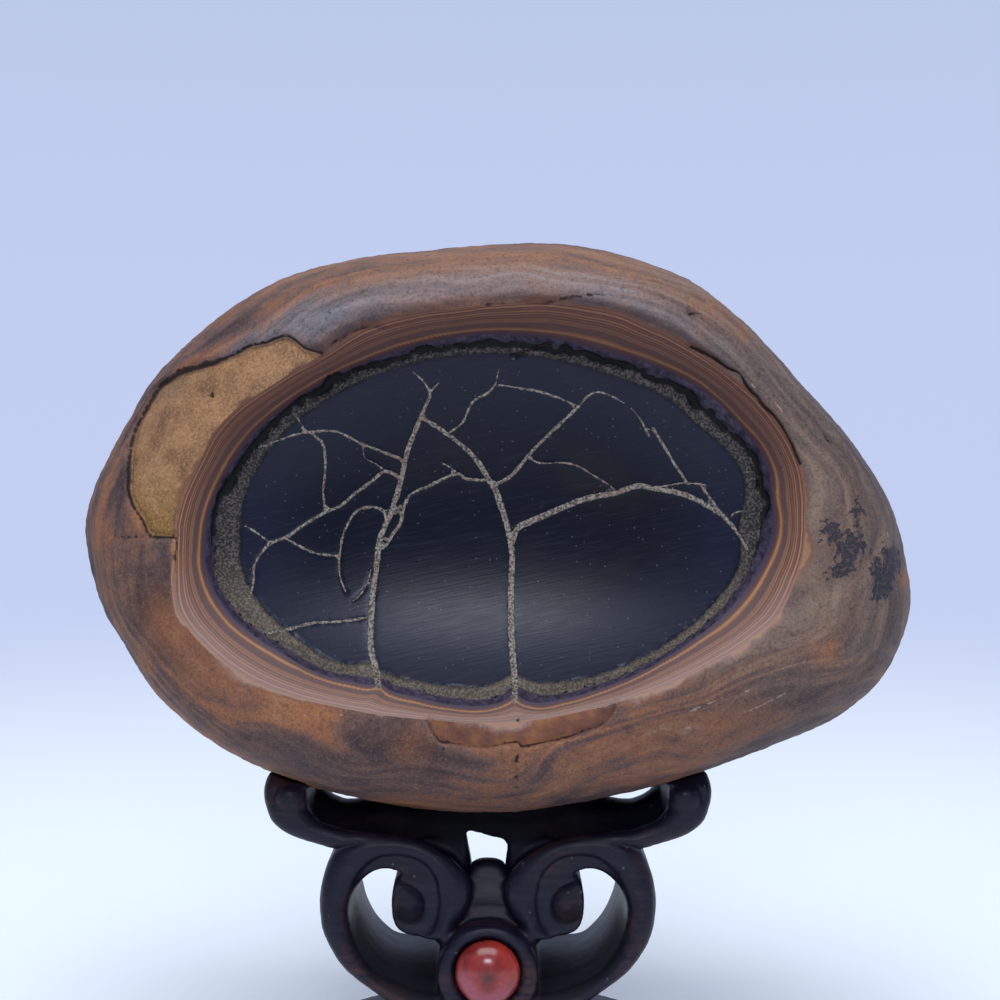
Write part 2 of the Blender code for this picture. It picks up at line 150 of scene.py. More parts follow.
# Each vein: its width in pixels at its start and its end, then the places it runs through.
VEINS = [
    ((8, 6), [(379, 697), (377, 674), (371, 648), (371, 620), (373, 592), (377, 561), (380, 539),
        (387, 522), (394, 505), (399, 487), (402, 475), (407, 453), (413, 436), (419, 422)]),
    ((5, 1.6), [(419, 422), (422, 414), (426, 405), (430, 395), (426, 385), (420, 378), (413, 372)]),
    ((1.8, 1), [(430, 393), (434, 388), (439, 383)]),
    ((8, 7), [(515, 705), (514, 671), (511, 627), (511, 591), (512, 553), (508, 530), (502, 509),
        (495, 490), (489, 480)]),
    ((6.5, 4.5), [(489, 480), (480, 465), (468, 451), (454, 439), (437, 427), (422, 418)]),
    ((5, 3.6), [(495, 485), (512, 475), (528, 456), (542, 441), (559, 425), (577, 408)]),
    ((3.4, 1.4), [(577, 408), (588, 396), (597, 392), (609, 395), (624, 403)]),
    ((1.8, 1.6), [(496, 384), (497, 377), (499, 370)]),
    ((3.2, 2.4), [(496, 384), (488, 393), (473, 401), (468, 412), (461, 424), (449, 433)]),
    ((2.6, 2.2), [(499, 385), (519, 388), (536, 391), (556, 397), (577, 406)]),
    ((1.8, 1.8), [(528, 456), (539, 463), (565, 463), (580, 467), (591, 474), (606, 483), (615, 490)]),
    ((7.5, 6), [(512, 543), (518, 528), (539, 518), (562, 508), (588, 498), (615, 493), (638, 486),
        (656, 489), (679, 493), (697, 500)]),
    ((5.5, 2.6), [(697, 500), (712, 509), (726, 519), (738, 534), (750, 553)]),
    ((2.4, 1.6), [(653, 488), (671, 485), (685, 483), (706, 485)]),
    ((3, 2.4), [(700, 484), (715, 505), (729, 522)]),
    ((1.6, 1), [(732, 515), (737, 512), (744, 511)]),
    ((1, 3), [(631, 408), (640, 419), (649, 436)]),
    ((3.8, 2.6), [(653, 428), (662, 443), (674, 463), (682, 475), (688, 484)]),
    ((2.2, 3.4), [(258, 448), (277, 441), (294, 435), (311, 432), (333, 431), (347, 436), (362, 444),
        (381, 451), (403, 460)]),
    ((1.6, 1.8), [(297, 417), (301, 424), (306, 431)]),
    ((3, 2.6), [(313, 434), (323, 444), (325, 456), (325, 475), (323, 490), (325, 511)]),
    ((4, 3.6), [(399, 477), (386, 471), (379, 475), (367, 485), (354, 494), (342, 505), (324, 513),
        (304, 525), (287, 537)]),
    ((3.6, 2.6), [(287, 537), (270, 544), (261, 554), (254, 567), (254, 578), (251, 592), (247, 603)]),
    ((1.2, 1), [(386, 471), (376, 464), (365, 458), (363, 448)]),
    ((2.2, 1.8), [(270, 543), (256, 532), (245, 526)]),
    ((2.6, 2.2), [(287, 539), (301, 547), (318, 554), (338, 556)]),
    ((3.2, 2), [(387, 522), (383, 511), (371, 507), (357, 511), (349, 522), (343, 536), (340, 553),
        (339, 567), (341, 581), (346, 592)]),
    ((1.6, 1.2), [(371, 570), (367, 584), (360, 595), (353, 601)]),
    ((3.6, 3.2), [(385, 547), (394, 533), (401, 522), (404, 508), (411, 494), (427, 487), (447, 477),
        (459, 474), (466, 479), (480, 480), (489, 480)]),
    ((1.6, 1.2), [(459, 475), (451, 468), (442, 463)]),
    ((3.6, 3), [(269, 633), (293, 628), (313, 623), (335, 622), (366, 618)]),
]
# The upper and outer edge of the sandy patch, under an overhanging ledge.
LEDGE = [
    (330, 357), (320, 353), (305, 348), (296, 341), (286, 335), (274, 337), (264, 341), (248, 344),
    (236, 351), (220, 358), (201, 364), (185, 367), (173, 373), (157, 385), (147, 401), (137, 418),
    (130, 434), (126, 450), (125, 470), (127, 490), (132, 505), (142, 520), (148, 534), (162, 537),
    (176, 538),
]
UPPER_LEDGE = [(321, 353), (333, 345), (347, 335), (358, 330), (371, 327), (384, 329)]
CRACK = [
    (692, 347), (703, 352), (709, 355), (718, 360), (729, 368), (740, 373), (745, 382), (752, 392),
    (758, 397), (763, 405), (772, 413), (780, 422), (786, 432), (792, 443), (796, 453), (801, 464),
]
TOP_CRACK = [(512, 357), (520, 354), (528, 351), (540, 347), (552, 344)]
CHIP = [
    (428, 719), (430, 730), (438, 742), (446, 745), (460, 747), (480, 749.5), (492, 749), (508, 746),
    (518, 745), (522, 749), (540, 746), (566, 741), (586, 733), (600, 728), (610, 719), (616, 708),
    (619, 699),
]
CHIP_SPLIT = [(517, 703), (518, 716), (517, 731), (518, 748), (516, 770), (517, 790)]
LEFT_SPLIT = [(112, 536), (126, 537), (148, 537), (162, 538), (176, 538), (175, 560), (176, 590)]
SEAM = [(486, 305), (498, 302), (513, 301), (530, 304), (545, 304), (560, 299), (580, 296), (604, 294)]
RIDGE = [(735, 340), (761, 367), (797, 393), (824, 424), (847, 455), (866, 482), (876, 502), (888, 543)]
HOLLOW = [(803, 596), (832, 589), (854, 578), (868, 562), (880, 542)]
PITS = [[(690, 313), (695, 311), (701, 312)], [(825, 437), (829, 440)], [(207, 390), (210, 392)]]
SCUFFS = [
    [(690, 710), (712, 702), (736, 694), (756, 688)],
    [(742, 712), (758, 706), (776, 697), (792, 690)],
    [(640, 733), (665, 729), (690, 727)],
    [(300, 716), (320, 715), (345, 717)],
    [(780, 722), (800, 712), (822, 699)],
    [(752, 385), (768, 397), (792, 420)],
]
LINES = {
    "crack": [CRACK],
    "upper_ledge": [UPPER_LEDGE],
    "seam": [SEAM],
    "top_crack": [TOP_CRACK],
    "split": [CHIP_SPLIT],
    "left_split": [LEFT_SPLIT],
    "ridge": [RIDGE],
    "hollow": [HOLLOW],
    "pit": PITS,
    "scuff": SCUFFS,
}
# Amber spots, as (x, z) from the oval's middle, a half width and a strength.
AMBER_SPOTS = [
    (58.5, -21.5, 2.2, 0.7), (75, -10.5, 2, 0.7), (28, -30, 3, 0.5), (-30, -33.5, 3.5, 0.6),
    (-62, 0, 2.5, 0.6), (-55, -18, 6, 0.55), (-47, -26, 6, 0.55), (-13, -40, 4, 0.4), (40, -35, 4, 0.4),
    (39, 37.5, 3, 0.45), (45, 33.5, 2.6, 0.4),
]
# Blue-black stains at the right, as (x, z) from the oval's middle, half width and half height.
BLOTCHES = [
    (59.3, -1.6, 2.4, 2), (63.3, -4, 3, 2.4), (64.4, 1.4, 1.4, 2.6), (62.6, -7, 1.8, 2.6),
    (60.6, -9, 2.4, 1.5), (70, -8.5, 3.2, 3.2), (72.3, -7, 2.4, 2.6), (69.4, -12.5, 2.4, 2.6),
]


# --- stand: half outlines as (x, z) in millimetres; a third value marks a sharp corner ------------

STAND_FRONT_Y, STAND_BACK_Y = -22.0, 17.0
WEB_FRONT_Y, WEB_BACK_Y = -9.0, 10.5
POST_FRONT_Y, POST_BACK_Y = -15.0, -9.6
SCROLL = [
    (8.8, 13.2), (14.3, 15), (18.8, 17.6), (22.1, 19.8), (26.2, 23.1), (28.9, 26.8),
    (30.6, 30.8), (31.1, 35.2), (30.7, 39.2), (29.5, 43.1), (28, 45.3, 1), (31.1, 46.2),
    (34, 47.1), (37.1, 48.3), (39.7, 50.4), (40.8, 52.8), (41.4, 55.5), (41, 58.2),
    (39.5, 60.3), (31.6, 59, 1), (32, 55.4), (33.1, 53.3, 1), (31.1, 51.1), (26.2, 49.4),
    (19.7, 48.8), (14.3, 48), (10.6, 46.7), (6.9, 44.4), (4.2, 41.6), (3.1, 38.5),
    (3.6, 34.8), (6, 30.8, 1), (-5, 30.8, 1), (-5, 14.5, 1),
]
SCROLL_EYE = [
    (15.9, 40.9, 1), (18.5, 41.6), (21.2, 41.1), (23.6, 39.2), (25.2, 36.7), (25.8, 34.1),
    (25.2, 30.4), (23.8, 26.8), (21.4, 23.5), (18.3, 21.1), (14.3, 19.4), (9.3, 18.5, 1),
    (9.3, 22.9), (8.8, 28.4, 1), (12.4, 29), (15.5, 29.7), (17.2, 31.3), (17.9, 34.5),
    (17.7, 37.4), (17, 39.6),
]
# The ring's inner floor beside the boss, which climbs toward the back.
EYE_FLOOR = [(6, 18.1), (9.3, 18.5), (14.3, 19.4), (18.3, 21.1), (50, 21.1)]
EYE_FLOOR_CLIMB = 1.8
EYE_FLOOR_END_X, EYE_FLOOR_UNDER_Z = 19, 15  # where the wood under it ends, outward and down
WEB = [
    (-6, 45.4, 1), (3, 45.4, 1), (3.4, 43), (3.4, 39.5), (4.8, 37, 1), (8.9, 42.4), (16.3, 45.4),
    (18, 45.6, 1), (17.6, 49), (16.4, 53), (14, 58, 1), (-6, 58, 1),
]
POST = [
    (-7, 26, 1), (-7, 30), (-5.8, 31.8), (-4.6, 33.8), (-4, 36.5), (-3.8, 39.4), (-3.2, 41.3, 1),
    (-1.8, 42), (0, 42.2), (1.8, 42), (3.2, 41.3, 1), (3.8, 39.4), (4, 36.5), (4.6, 33.8),
    (5.8, 31.8), (7, 30), (7, 26, 1),
]
FOOT = [
    (-6, 14.6, 1), (9, 15.6), (14.5, 13), (19, 10.1), (24.1, 8.6), (27.5, 7.3), (28.7, 4.3),
    (27.8, 1.3), (26.4, -2, 1), (18.2, -2, 1), (16.6, 3.1), (13, 6.3), (7.5, 8.4), (-6, 9, 1),
]
# The inner band of the ring, which lies a step behind the outer one, and winds into the lobe.
INNER_BAND = [
    (25.6, 36.4, 1), (24.6, 39.6), (22.8, 42.2), (20.2, 44), (17, 44.5), (13.6, 44), (11, 42.2),
    (9.5, 39.6), (9, 36), (9.4, 32.8), (10.6, 30.4), (12.6, 28.6, 1), (18, 27, 1), (21, 34, 1),
]
# The crease where the arm leaves the ring.
CREASE = [(28.3, 45.1), (26.2, 46.1), (23.9, 46.7), (21.9, 47.3)]
LOBE_DISH = [
    (17.6, 39.8, 1), (15.2, 39.4), (12.6, 37.8), (11.5, 35.6), (12, 33.2), (13.6, 31.8),
    (15.6, 31.9), (17.4, 33, 1), (19, 36, 1),
]
# The arm's upper side at its front edge, as (x, height).
ARM_TOP = [
    (0, 60), (3.1, 41), (4.2, 41.9), (6.9, 44.6), (10.6, 46.9), (14.3, 48.2), (19.7, 49), (26.2, 49.6),
    (31.1, 51.3), (33, 53.6), (34, 70), (50, 70),
]
# Half way back, a low ridge runs along the arm's top, from the hook to under the stone.
ARM_RIDGE = [
    (0, 60), (16, 60), (19, 56), (21, 53.3), (23.2, 51.8), (25.5, 51.4), (27.8, 51.3), (30, 52.2),
    (32, 53.6), (32.8, 54.4), (33.6, 56), (34.4, 70), (50, 70),
]
# The arm's lower side behind its front edge, where that ridge ends.
RIDGE_UNDER = [(18, 46), (28, 46), (31, 46.9), (34, 48.2), (37, 49.6), (50, 55)]
ARM_FALL = 2.8  # how far the arm's top falls from its front edge toward the back
ARM_BACK_Z, ARM_BACK_X = 46.5, (3, 34.5)  # the arm behind its front edge: its height and its ends
# The gap between the arms: half its width at one height, its leaning sides and its slanting top.
GAP_HALF_WIDTH, GAP_MIDDLE_Z, GAP_LEFT_LEAN, GAP_RIGHT_LEAN = 3.15, 40.7, 0.19, 0.166
GAP_TOP_X, GAP_TOP_Z, GAP_TOP_SLANT = -2.9, 46.6, 0.32
GAP_FLOOR_Z, GAP_FLOOR_FALL, GAP_WIDENING = 38.5, 0.25, 0.05  # the last two for each mm to the back
HOOK_EYE_X, HOOK_EYE_Z, HOOK_EYE_RADIUS = 36.4, 54.9, 2.9
BOSS_Z, BOSS_RADIUS, BOSS_FRONT_Y, BOSS_BACK_Y = 23.2, 9.3, -24.5, 19.0
COLLAR_RADIUS, COLLAR_FRONT_Y, COLLAR_BACK_Y, COLLAR_LOW_Z = 11.0, -17.8, 5.0, 27.5
SOCKET_RADIUS, SOCKET_FLOOR_Y = 6.2, -22.6
CABOCHON_RADIUS, CABOCHON_RISE, CABOCHON_SUNK = 5.9, 3.4, 1.4
CABOCHON_Z = 23.9
SEAT_GAP = 0.3


# --- numbers ------------------------------------------------------------------------------------


def smooth(value, low, high):
    """0 below low and 1 above high, with a soft rise between."""
    t = np.clip((value - low) / (high - low), 0, 1)
    return t * t * (3 - 2 * t)


def bell(value, width):
    """1 where the value is 0, falling away to nothing beyond about twice the width."""
    return np.exp(-((value / width) ** 2))


def lattice(cell, seed):
    """A repeatable number from -1 to 1 at each lattice point."""
    i, j, k = (cell[:, n] for n in range(3))
    n = (i * 374761393 + j * 668265263 + k * 1442695041 + seed * 974711) & 0xFFFFFFFF
    n = ((n ^ (n >> 13)) * 1274126177) & 0xFFFFFFFF
    n = ((n ^ (n >> 15)) * 2246822519) & 0xFFFFFFFF
    return ((n ^ (n >> 16)) & 0xFFFF) / 32767.5 - 1


def noise(points, size, seed=0, octaves=2):
    """Soft random values from about -1 to 1 whose features are size millimetres across."""
    points = np.asarray(points, float)
    total = np.zeros(len(points))
    amount = 1.0
    for octave in range(octaves):
        p = points / size * 2**octave + 31.7 * (octave + 1)
        cell = np.floor(p).astype(np.int64)
        t = p - cell
        t = t * t * (3 - 2 * t)
        for corner in itertools.product((0, 1), repeat=3):
            weight = np.prod(np.where(corner, t, 1 - t), axis=1)
            total += amount * weight * lattice(cell + np.array(corner), seed + 7 * octave)
        amount *= 0.5
    return total


def round_trip(knots, values, angles):
    """A smooth closed curve through values at these angles, read at others."""
    order = np.argsort(knots % TURN)
    knots, values = (knots % TURN)[order], values[order]
    knots = np.concatenate([knots[-2:] - TURN, knots, knots[:2] + TURN])
    values = np.concatenate([values[-2:], values, values[:2]])
    slopes = np.gradient(values, knots)
    angles = angles % TURN
    i = np.clip(np.searchsorted(knots, angles, side="right") - 1, 1, len(knots) - 3)
    span = knots[i + 1] - knots[i]
    t = (angles - knots[i]) / span
    return (
        values[i] * (1 + 2 * t) * (1 - t) ** 2
        + slopes[i] * span * t * (1 - t) ** 2
        + values[i + 1] * t * t * (3 - 2 * t)
        - slopes[i + 1] * span * t * t * (1 - t)
    )


# --- stone: its surface -------------------------------------------------------------------------


def from_pixels(px, py, y):
    """(x, z) of what shows at a pixel, at depth y."""
    scale = (CAMERA_AWAY + y) / FOCAL_PIXELS
    return (px - MIDDLE_PX) * scale + CAMERA_X, CAMERA_Z - (py - MIDDLE_PY) * scale


def polar(x, z):
    """(angle, share of the oval's radius) of a place on the face."""
    x, z = (x - OVAL_X) / OVAL_HALF_WIDTH, (z - OVAL_Z) / OVAL_HALF_HEIGHT
    return np.arctan2(z, x), np.hypot(x, z)


def traced_ring(rows, y):
    """(angles, reaches) of a ring that was traced in the picture at depth y."""
    degrees, share = np.array(rows, float).T
    turn = np.radians(degrees)
    px = OVAL_PX + OVAL_RADIUS_PX * share * np.cos(turn)
    py = OVAL_PY + OVAL_RADIUS_PY * share * np.sin(turn)
    return polar(*from_pixels(px, py, y))


def measured_ring(rows):
    """(angles, reaches) of a ring that is given in millimetres from the oval's middle."""
    return polar(*(np.array(rows, float) + (OVAL_X, OVAL_Z)).T)


RINGS = {
    "core": traced_ring(CORE_EDGE, CORE_EDGE_Y),
    "groove": traced_ring(GROOVE, GROOVE_Y),
    "dark": traced_ring(DARK_EDGE, DARK_EDGE_Y),
    "orange": traced_ring(ORANGE_LINE, ORANGE_Y),
    "band": traced_ring(BAND_EDGE, BAND_EDGE_Y),
    "crest": measured_ring(CREST),
    "girth": measured_ring(GIRTH),
}


def rings_at(angles):
    return {name: round_trip(*ring, angles) for name, ring in RINGS.items()}


def low_forms(forms, x, z):
    total = np.zeros_like(x)
    for (at_x, at_z), half_width, half_height, rise in forms:
        away = ((x - at_x) / half_width) ** 2 + ((z - at_z) / half_height) ** 2
        total += rise * np.exp(-away)
    return total


def slope_between(value, low, high, first, last):
    return first + (last - first) * np.clip((value - low) / (high - low), 0, 1)


def on_oval(angles, reach, y, forms, lift):
    """Points at this reach and depth, with low forms that move them in y by their rise times lift."""
    x = reach * OVAL_HALF_WIDTH * np.cos(angles)
    z = reach * OVAL_HALF_HEIGHT * np.sin(angles)
    y = y + low_forms(forms, x, z) * lift
    return np.stack([x + OVAL_X, y, z + OVAL_Z], axis=-1)


def front_surface(angles, flat):
    """Points of the front of the stone. flat is the distance out from the middle, laid flat."""
    at = rings_at(angles)
    core, groove, dark, crest = at["core"], at["groove"], at["dark"], at["crest"]
    turn = np.clip((flat - crest) / RIND_REACH, 0, 1) * math.pi / 2
    rind = crest + (at["girth"] - crest) * np.sin(turn) ** (2 / FRONT_FULLNESS)
    round_y = GIRTH_Y + (CREST_Y - GIRTH_Y) * np.clip(np.cos(turn), 0, 1) ** (2 / FRONT_FULLNESS)
    share = np.clip((flat - dark) / (crest - dark), 0, 1)
    y = CORE_MIDDLE_Y + (CORE_EDGE_Y - CORE_MIDDLE_Y) * (np.minimum(flat, core) / BOWL_REACH) ** 2
    y = np.where(flat > core, slope_between(flat, core, groove, y, GROOVE_Y), y)
    y = np.where(flat > groove, slope_between(flat, groove, dark, GROOVE_Y, DARK_EDGE_Y), y)
    y = np.where(flat > dark, DARK_EDGE_Y + (CREST_Y - DARK_EDGE_Y) * np.sin(share * math.pi / 2), y)
    y = np.where(flat > crest, round_y, y)
    ease = smooth(flat, crest - 0.05, crest + 0.12)
    lift = -np.clip(y / CREST_Y, 0, 1) * ease
    return on_oval(angles, np.where(flat > crest, rind, flat), y, RIND_FORMS, lift)


def back_surface(angles, flat):
    """Points of the back. flat is 1 at the girth and 0 at the middle of the back."""
    turn = np.clip(flat, 0, 1) * math.pi / 2
    reach = round_trip(*RINGS["girth"], angles) * np.sin(turn) ** (2 / BACK_FULLNESS)
    y = BACK_Y * np.clip(np.cos(turn), 0, 1) ** (2 / BACK_FULLNESS)
    return on_oval(angles, reach, y, BACK_FORMS, y / BACK_Y)


def flat_of_reach(angles, reach):
    """The distance out, laid flat, of a place that is reach oval radii from the middle."""
    at = rings_at(angles)
    share = np.clip((reach - at["crest"]) / (at["girth"] - at["crest"]), 0, 1)
    turn = np.arcsin(share ** (FRONT_FULLNESS / 2))
    return np.where(reach > at["crest"], at["crest"] + turn / (math.pi / 2) * RIND_REACH, reach)


def to_flat(angles, flat):
    """Places in the flat plan in which the front is meshed, about true to size inside the crest."""
    return np.stack(
        [flat * OVAL_HALF_WIDTH * np.cos(angles), flat * OVAL_HALF_HEIGHT * np.sin(angles)], axis=-1
    )


def from_flat(plan):
    u, v = plan[:, 0] / OVAL_HALF_WIDTH, plan[:, 1] / OVAL_HALF_HEIGHT
    return np.arctan2(v, u), np.hypot(u, v)


def pixels_to_plan(pixels):
    """Where a line of pixels falls on the front of the stone, in the flat plan."""
    px, py = np.array(pixels, float).T
    y = np.full_like(px, CORE_EDGE_Y)
    # the depth gives the place and the place gives the depth, until both settle
    for _ in range(40):
        angles, reach = polar(*from_pixels(px, py, y))
        flat = flat_of_reach(angles, reach)
        y = 0.5 * y + 0.5 * front_surface(angles, flat)[:, 1]
    return to_flat(angles, flat)


def fine_line(points, step):
    """A smooth line through the points, as evenly spaced places and how far along each is."""
    points = np.asarray(points, float)
    ends = np.vstack([2 * points[0] - points[1], points, 2 * points[-1] - points[-2]])
    found = []
    for a, b, c, d in zip(ends[:-3], ends[1:-2], ends[2:-1], ends[3:]):
        bend, twist = 2 * a - 5 * b + 4 * c - d, 3 * b - a - 3 * c + d
        for t in np.linspace(0, 1, 12, endpoint=False):
            found.append(0.5 * (2 * b + (c - a) * t + bend * t * t + twist * t**3))
    found = np.array(found + [points[-1]])
    along = np.concatenate([[0], np.cumsum(np.linalg.norm(np.diff(found, axis=0), axis=1))])
    places = np.linspace(0, along[-1], max(3, int(along[-1] / step) + 1))
    line = np.stack([np.interp(places, along, found[:, n]) for n in range(2)], axis=-1)
    return line, places / along[-1]


def sideways(line):
    """The unit direction across the line at each of its places."""
    along = np.gradient(line, axis=0)
    along /= np.linalg.norm(along, axis=1)[:, None]
    return np.stack([-along[:, 1], along[:, 0]], axis=-1)


def triangulated(rings, lines=(), clear=0):
    """Triangles over the rings' places and along every line, with the rings kept clear of it."""
    grid = np.vstack(rings)
    if len(lines):
        away, _ = distance_to(np.vstack(lines), grid)
        keep = away > clear
        keep[-len(rings[-1]):] = True
        grid = grid[keep]
    places = [Vector(p) for p in grid]
    edges = []
    for line in lines:
        first = len(places)
        places += [Vector(p) for p in line]
        edges += [(first + i, first + i + 1) for i in range(len(line) - 1)]
    found = delaunay_2d_cdt(places, edges, [], 0, 1e-4)
    return np.array([tuple(p) for p in found[0]]), np.array(found[2], int)


def distance_to(line_points, plan):
    """(distance, number of the nearest point) for each place of the plan."""
    tree = KDTree(len(line_points))
    for number, place in enumerate(line_points):
        tree.insert((*place, 0), number)
    tree.balance()
    found = [tree.find((*place, 0)) for place in plan]
    return np.array([f[2] for f in found]), np.array([f[1] for f in found])


def inside(outline, plan):
    """True for each place inside the closed outline."""
    found = np.zeros(len(plan), bool)
    x, y = plan.T
    for (x1, y1), (x2, y2) in zip(outline, np.roll(outline, -1, axis=0)):
        if y1 == y2:
            continue
        crosses = (y1 > y) != (y2 > y)
        found ^= crosses & (x < (x2 - x1) * (y - y1) / (y2 - y1) + x1)
    return found


# How many rings of points each part of the stone's mesh has, and how many points the girth has.
CORE_RINGS, OLIVE_RINGS, DARK_RINGS, BAND_RINGS = 46, 5, 4, 15
RIND_RINGS, BACK_RINGS = 50, 42
GIRTH_POINTS = 540
CREST_LENGTH = 260.0  # about how long the face's outermost ring is, in millimetres
CORE_STEP, FACE_STEP = 0.62 / 1.15, 0.62 / 1.1  # about how far apart points are in the core and beyond
# The traced lines that get a second and third row of edges, this far to either side.
TRACED_GAPS = ((LEDGE, 0.3), (UPPER_LEDGE, 0.2), (CRACK, 0.5), (CHIP, 0.15), (TOP_CRACK, 0.2))
FAR = 60.0  # stands for the distance from a traced line to any place on the back


def ring_points(angles_count, offset):
    return (np.arange(angles_count) + offset) * TURN / angles_count


def front_rings():
    """Places of the front's rings in the flat plan, with the girth last."""
    steps = []
    for low, high, count in (
        ("middle", "core", CORE_RINGS),
        ("core", "groove", OLIVE_RINGS),
        ("groove", "dark", DARK_RINGS),
        ("dark", "crest", BAND_RINGS),
    ):
        steps += [(low, high, n / count) for n in range(1, count + 1)]
    rings = [np.zeros((1, 2))]
    for number, (low, high, share) in enumerate(steps):
        length = (number + 1) / len(steps) * CREST_LENGTH
        count = max(8, int(length / (CORE_STEP if high == "core" else FACE_STEP)))
        angles = ring_points(count, 0.5 * (number % 2))
        at = rings_at(angles)
        at["middle"] = 0
        rings.append(to_flat(angles, at[low] + (at[high] - at[low]) * share))
    for n in range(1, RIND_RINGS + 1):
        last = n == RIND_RINGS
        angles = ring_points(GIRTH_POINTS, 0.0 if last else 0.5 * (n % 2))
        crest = round_trip(*RINGS["crest"], angles)
        rings.append(to_flat(angles, crest + RIND_REACH * n / RIND_RINGS))
    return rings


def back_rings():
    rings = [np.zeros((1, 2))]
    for n in range(1, BACK_RINGS + 1):
        last = n == BACK_RINGS
        count = GIRTH_POINTS if last else max(8, int(GIRTH_POINTS * min(1, 1.25 * n / BACK_RINGS)))
        angles = ring_points(count, 0.0 if last else 0.5 * (n % 2))
        rings.append(to_flat(angles, np.full(count, n / BACK_RINGS)))
    return rings


def without_outer(faces, on_edge):
    """The faces that don't lie wholly along the outer ring."""
    return faces[~on_edge[faces].all(axis=1)]


def distance_inside(pixels, closing, plan):
    """How far inside a traced outline each place is. The closing places complete the outline."""
    line, _ = fine_line(pixels_to_plan(pixels), 0.15)
    away, _ = distance_to(line, plan)
    return np.where(inside(np.vstack([line, closing]), plan), away, -away)


def marks_of(plan):
    """Every traced feature as a value at each place of the front's plan, in millimetres."""
    points, widths = [], []
    for (first, last), pixels in VEINS:
        line, along = fine_line(pixels_to_plan(pixels), 0.12)
        points.append(line)
        widths.append((first + (last - first) * along) * VEIN_SCALE)
    away, nearest = distance_to(np.vstack(points), plan)
    marks = {
        "vein": away - np.concatenate(widths)[nearest],
        "patch": distance_inside(LEDGE, [(-20, -4), (-10, 10)], plan),
        "chip": distance_inside(CHIP, [(10, -20), (-10, -20)], plan),
    }
    for name, group in LINES.items():
        lines = [fine_line(pixels_to_plan(pixels), 0.15)[0] for pixels in group]
        marks[name], _ = distance_to(np.vstack(lines), plan)
    return marks


def stone_plan():
    """The front's mesh in the flat plan, with edges along every traced line."""
    lines = []
    for (first, last), pixels in VEINS:
        line, along = fine_line(pixels_to_plan(pixels), 0.5)
        half = (first + (last - first) * along) * VEIN_SCALE
        across = sideways(line) * half[:, None]
        lines += [line, line + across, line - across]
    for pixels, gap in TRACED_GAPS:
        line, _ = fine_line(pixels_to_plan(pixels), 0.5)
        across = sideways(line) * gap
        lines += [line - across, line, line + across]
    return triangulated(front_rings(), lines, clear=0.3)


def face_normals(points, faces):
    corners = points[faces]
    return np.cross(corners[:, 1] - corners[:, 0], corners[:, 2] - corners[:, 0])


def vertex_normals(points, faces):
    normals = np.zeros_like(points)
    for n in range(3):
        np.add.at(normals, faces[:, n], face_normals(points, faces))
    return normals / np.maximum(np.linalg.norm(normals, axis=1), 1e-12)[:, None]


def girth_place(angle):
    """The number of the girth's point at this angle."""
    return int(round(angle / TURN * GIRTH_POINTS)) % GIRTH_POINTS


def stone_shape():
    """(points, faces, marks) of the stone in millimetres."""
    plan, faces = stone_plan()
    angles, flat = from_flat(plan)
    at = rings_at(angles)
    edge = at["crest"] + RIND_REACH
    on_edge = flat > edge - 1e-4
    faces = without_outer(faces, on_edge)

    back_plan, back_faces = triangulated(back_rings())
    back_angles, back_flat = from_flat(back_plan)
    back_edge = back_flat > 1 - 1e-5
    back_faces = without_outer(back_faces, back_edge)

    # The back's outer ring is the front's.
    spot = {girth_place(angles[n]): n for n in np.flatnonzero(on_edge)}
    number = np.empty(len(back_plan), int)
    inner = np.flatnonzero(~back_edge)
    number[inner] = len(plan) + np.arange(len(inner))
    for n in np.flatnonzero(back_edge):
        number[n] = spot[girth_place(back_angles[n])]

    back_points = back_surface(back_angles, back_flat)[inner]
    points = np.vstack([front_surface(angles, flat), back_points])
    faces = np.vstack([faces, number[back_faces]])
    # Every face of the front looks forward and every face of the back looks back.
    outward = face_normals(points, faces)[:, 1]
    front_face = np.arange(len(faces)) < len(faces) - len(back_faces)
    wrong = np.where(front_face, outward > 0, outward < 0)
    faces[wrong] = faces[wrong][:, ::-1]

    # The layer goes up by 1 from each ring to the next, to 6 at the girth and 7 behind.
    bounds = [np.zeros(len(plan))] + [at[n] for n in ("core", "groove", "dark", "orange")]
    bounds += [flat_of_reach(angles, at["band"]), edge]
    layer = np.zeros(len(plan))
    for low, high in zip(bounds, bounds[1:]):
        layer += np.clip((flat - low) / np.maximum(high - low, 1e-6), 0, 1)

    marks = marks_of(plan)
    radius = np.hypot(OVAL_HALF_WIDTH * np.cos(angles), OVAL_HALF_HEIGHT * np.sin(angles))
    marks["groove_away"] = (flat - at["groove"]) * radius
    marks["core_away"] = (flat - at["core"]) * radius
    for name, values in marks.items():
        outside = -FAR if name in ("patch", "chip") else FAR
        marks[name] = np.concatenate([values, np.full(len(inner), outside)])
    marks["layer"] = np.concatenate([layer, 7 - back_flat[inner]])
    marks["angle"] = np.concatenate([angles, back_angles[inner]])
    marks["front"] = (np.arange(len(points)) < len(plan)).astype(float)
    return points, faces, marks


def upper_share(angles):
    """1 over the top of the oval, where its groove is deepest, and 0 along the bottom."""
    return smooth(np.sin(angles), -0.35, 0.25)


def groove_wander(points, marks):
    """How far each point is from the ragged middle of the black groove, in millimetres."""
    wide = 0.55 * noise(points, 3.2, 4) + 0.25 * noise(points, 1.1, 5)
    return marks["groove_away"] + wide * (0.35 + 0.9 * upper_share(marks["angle"]))


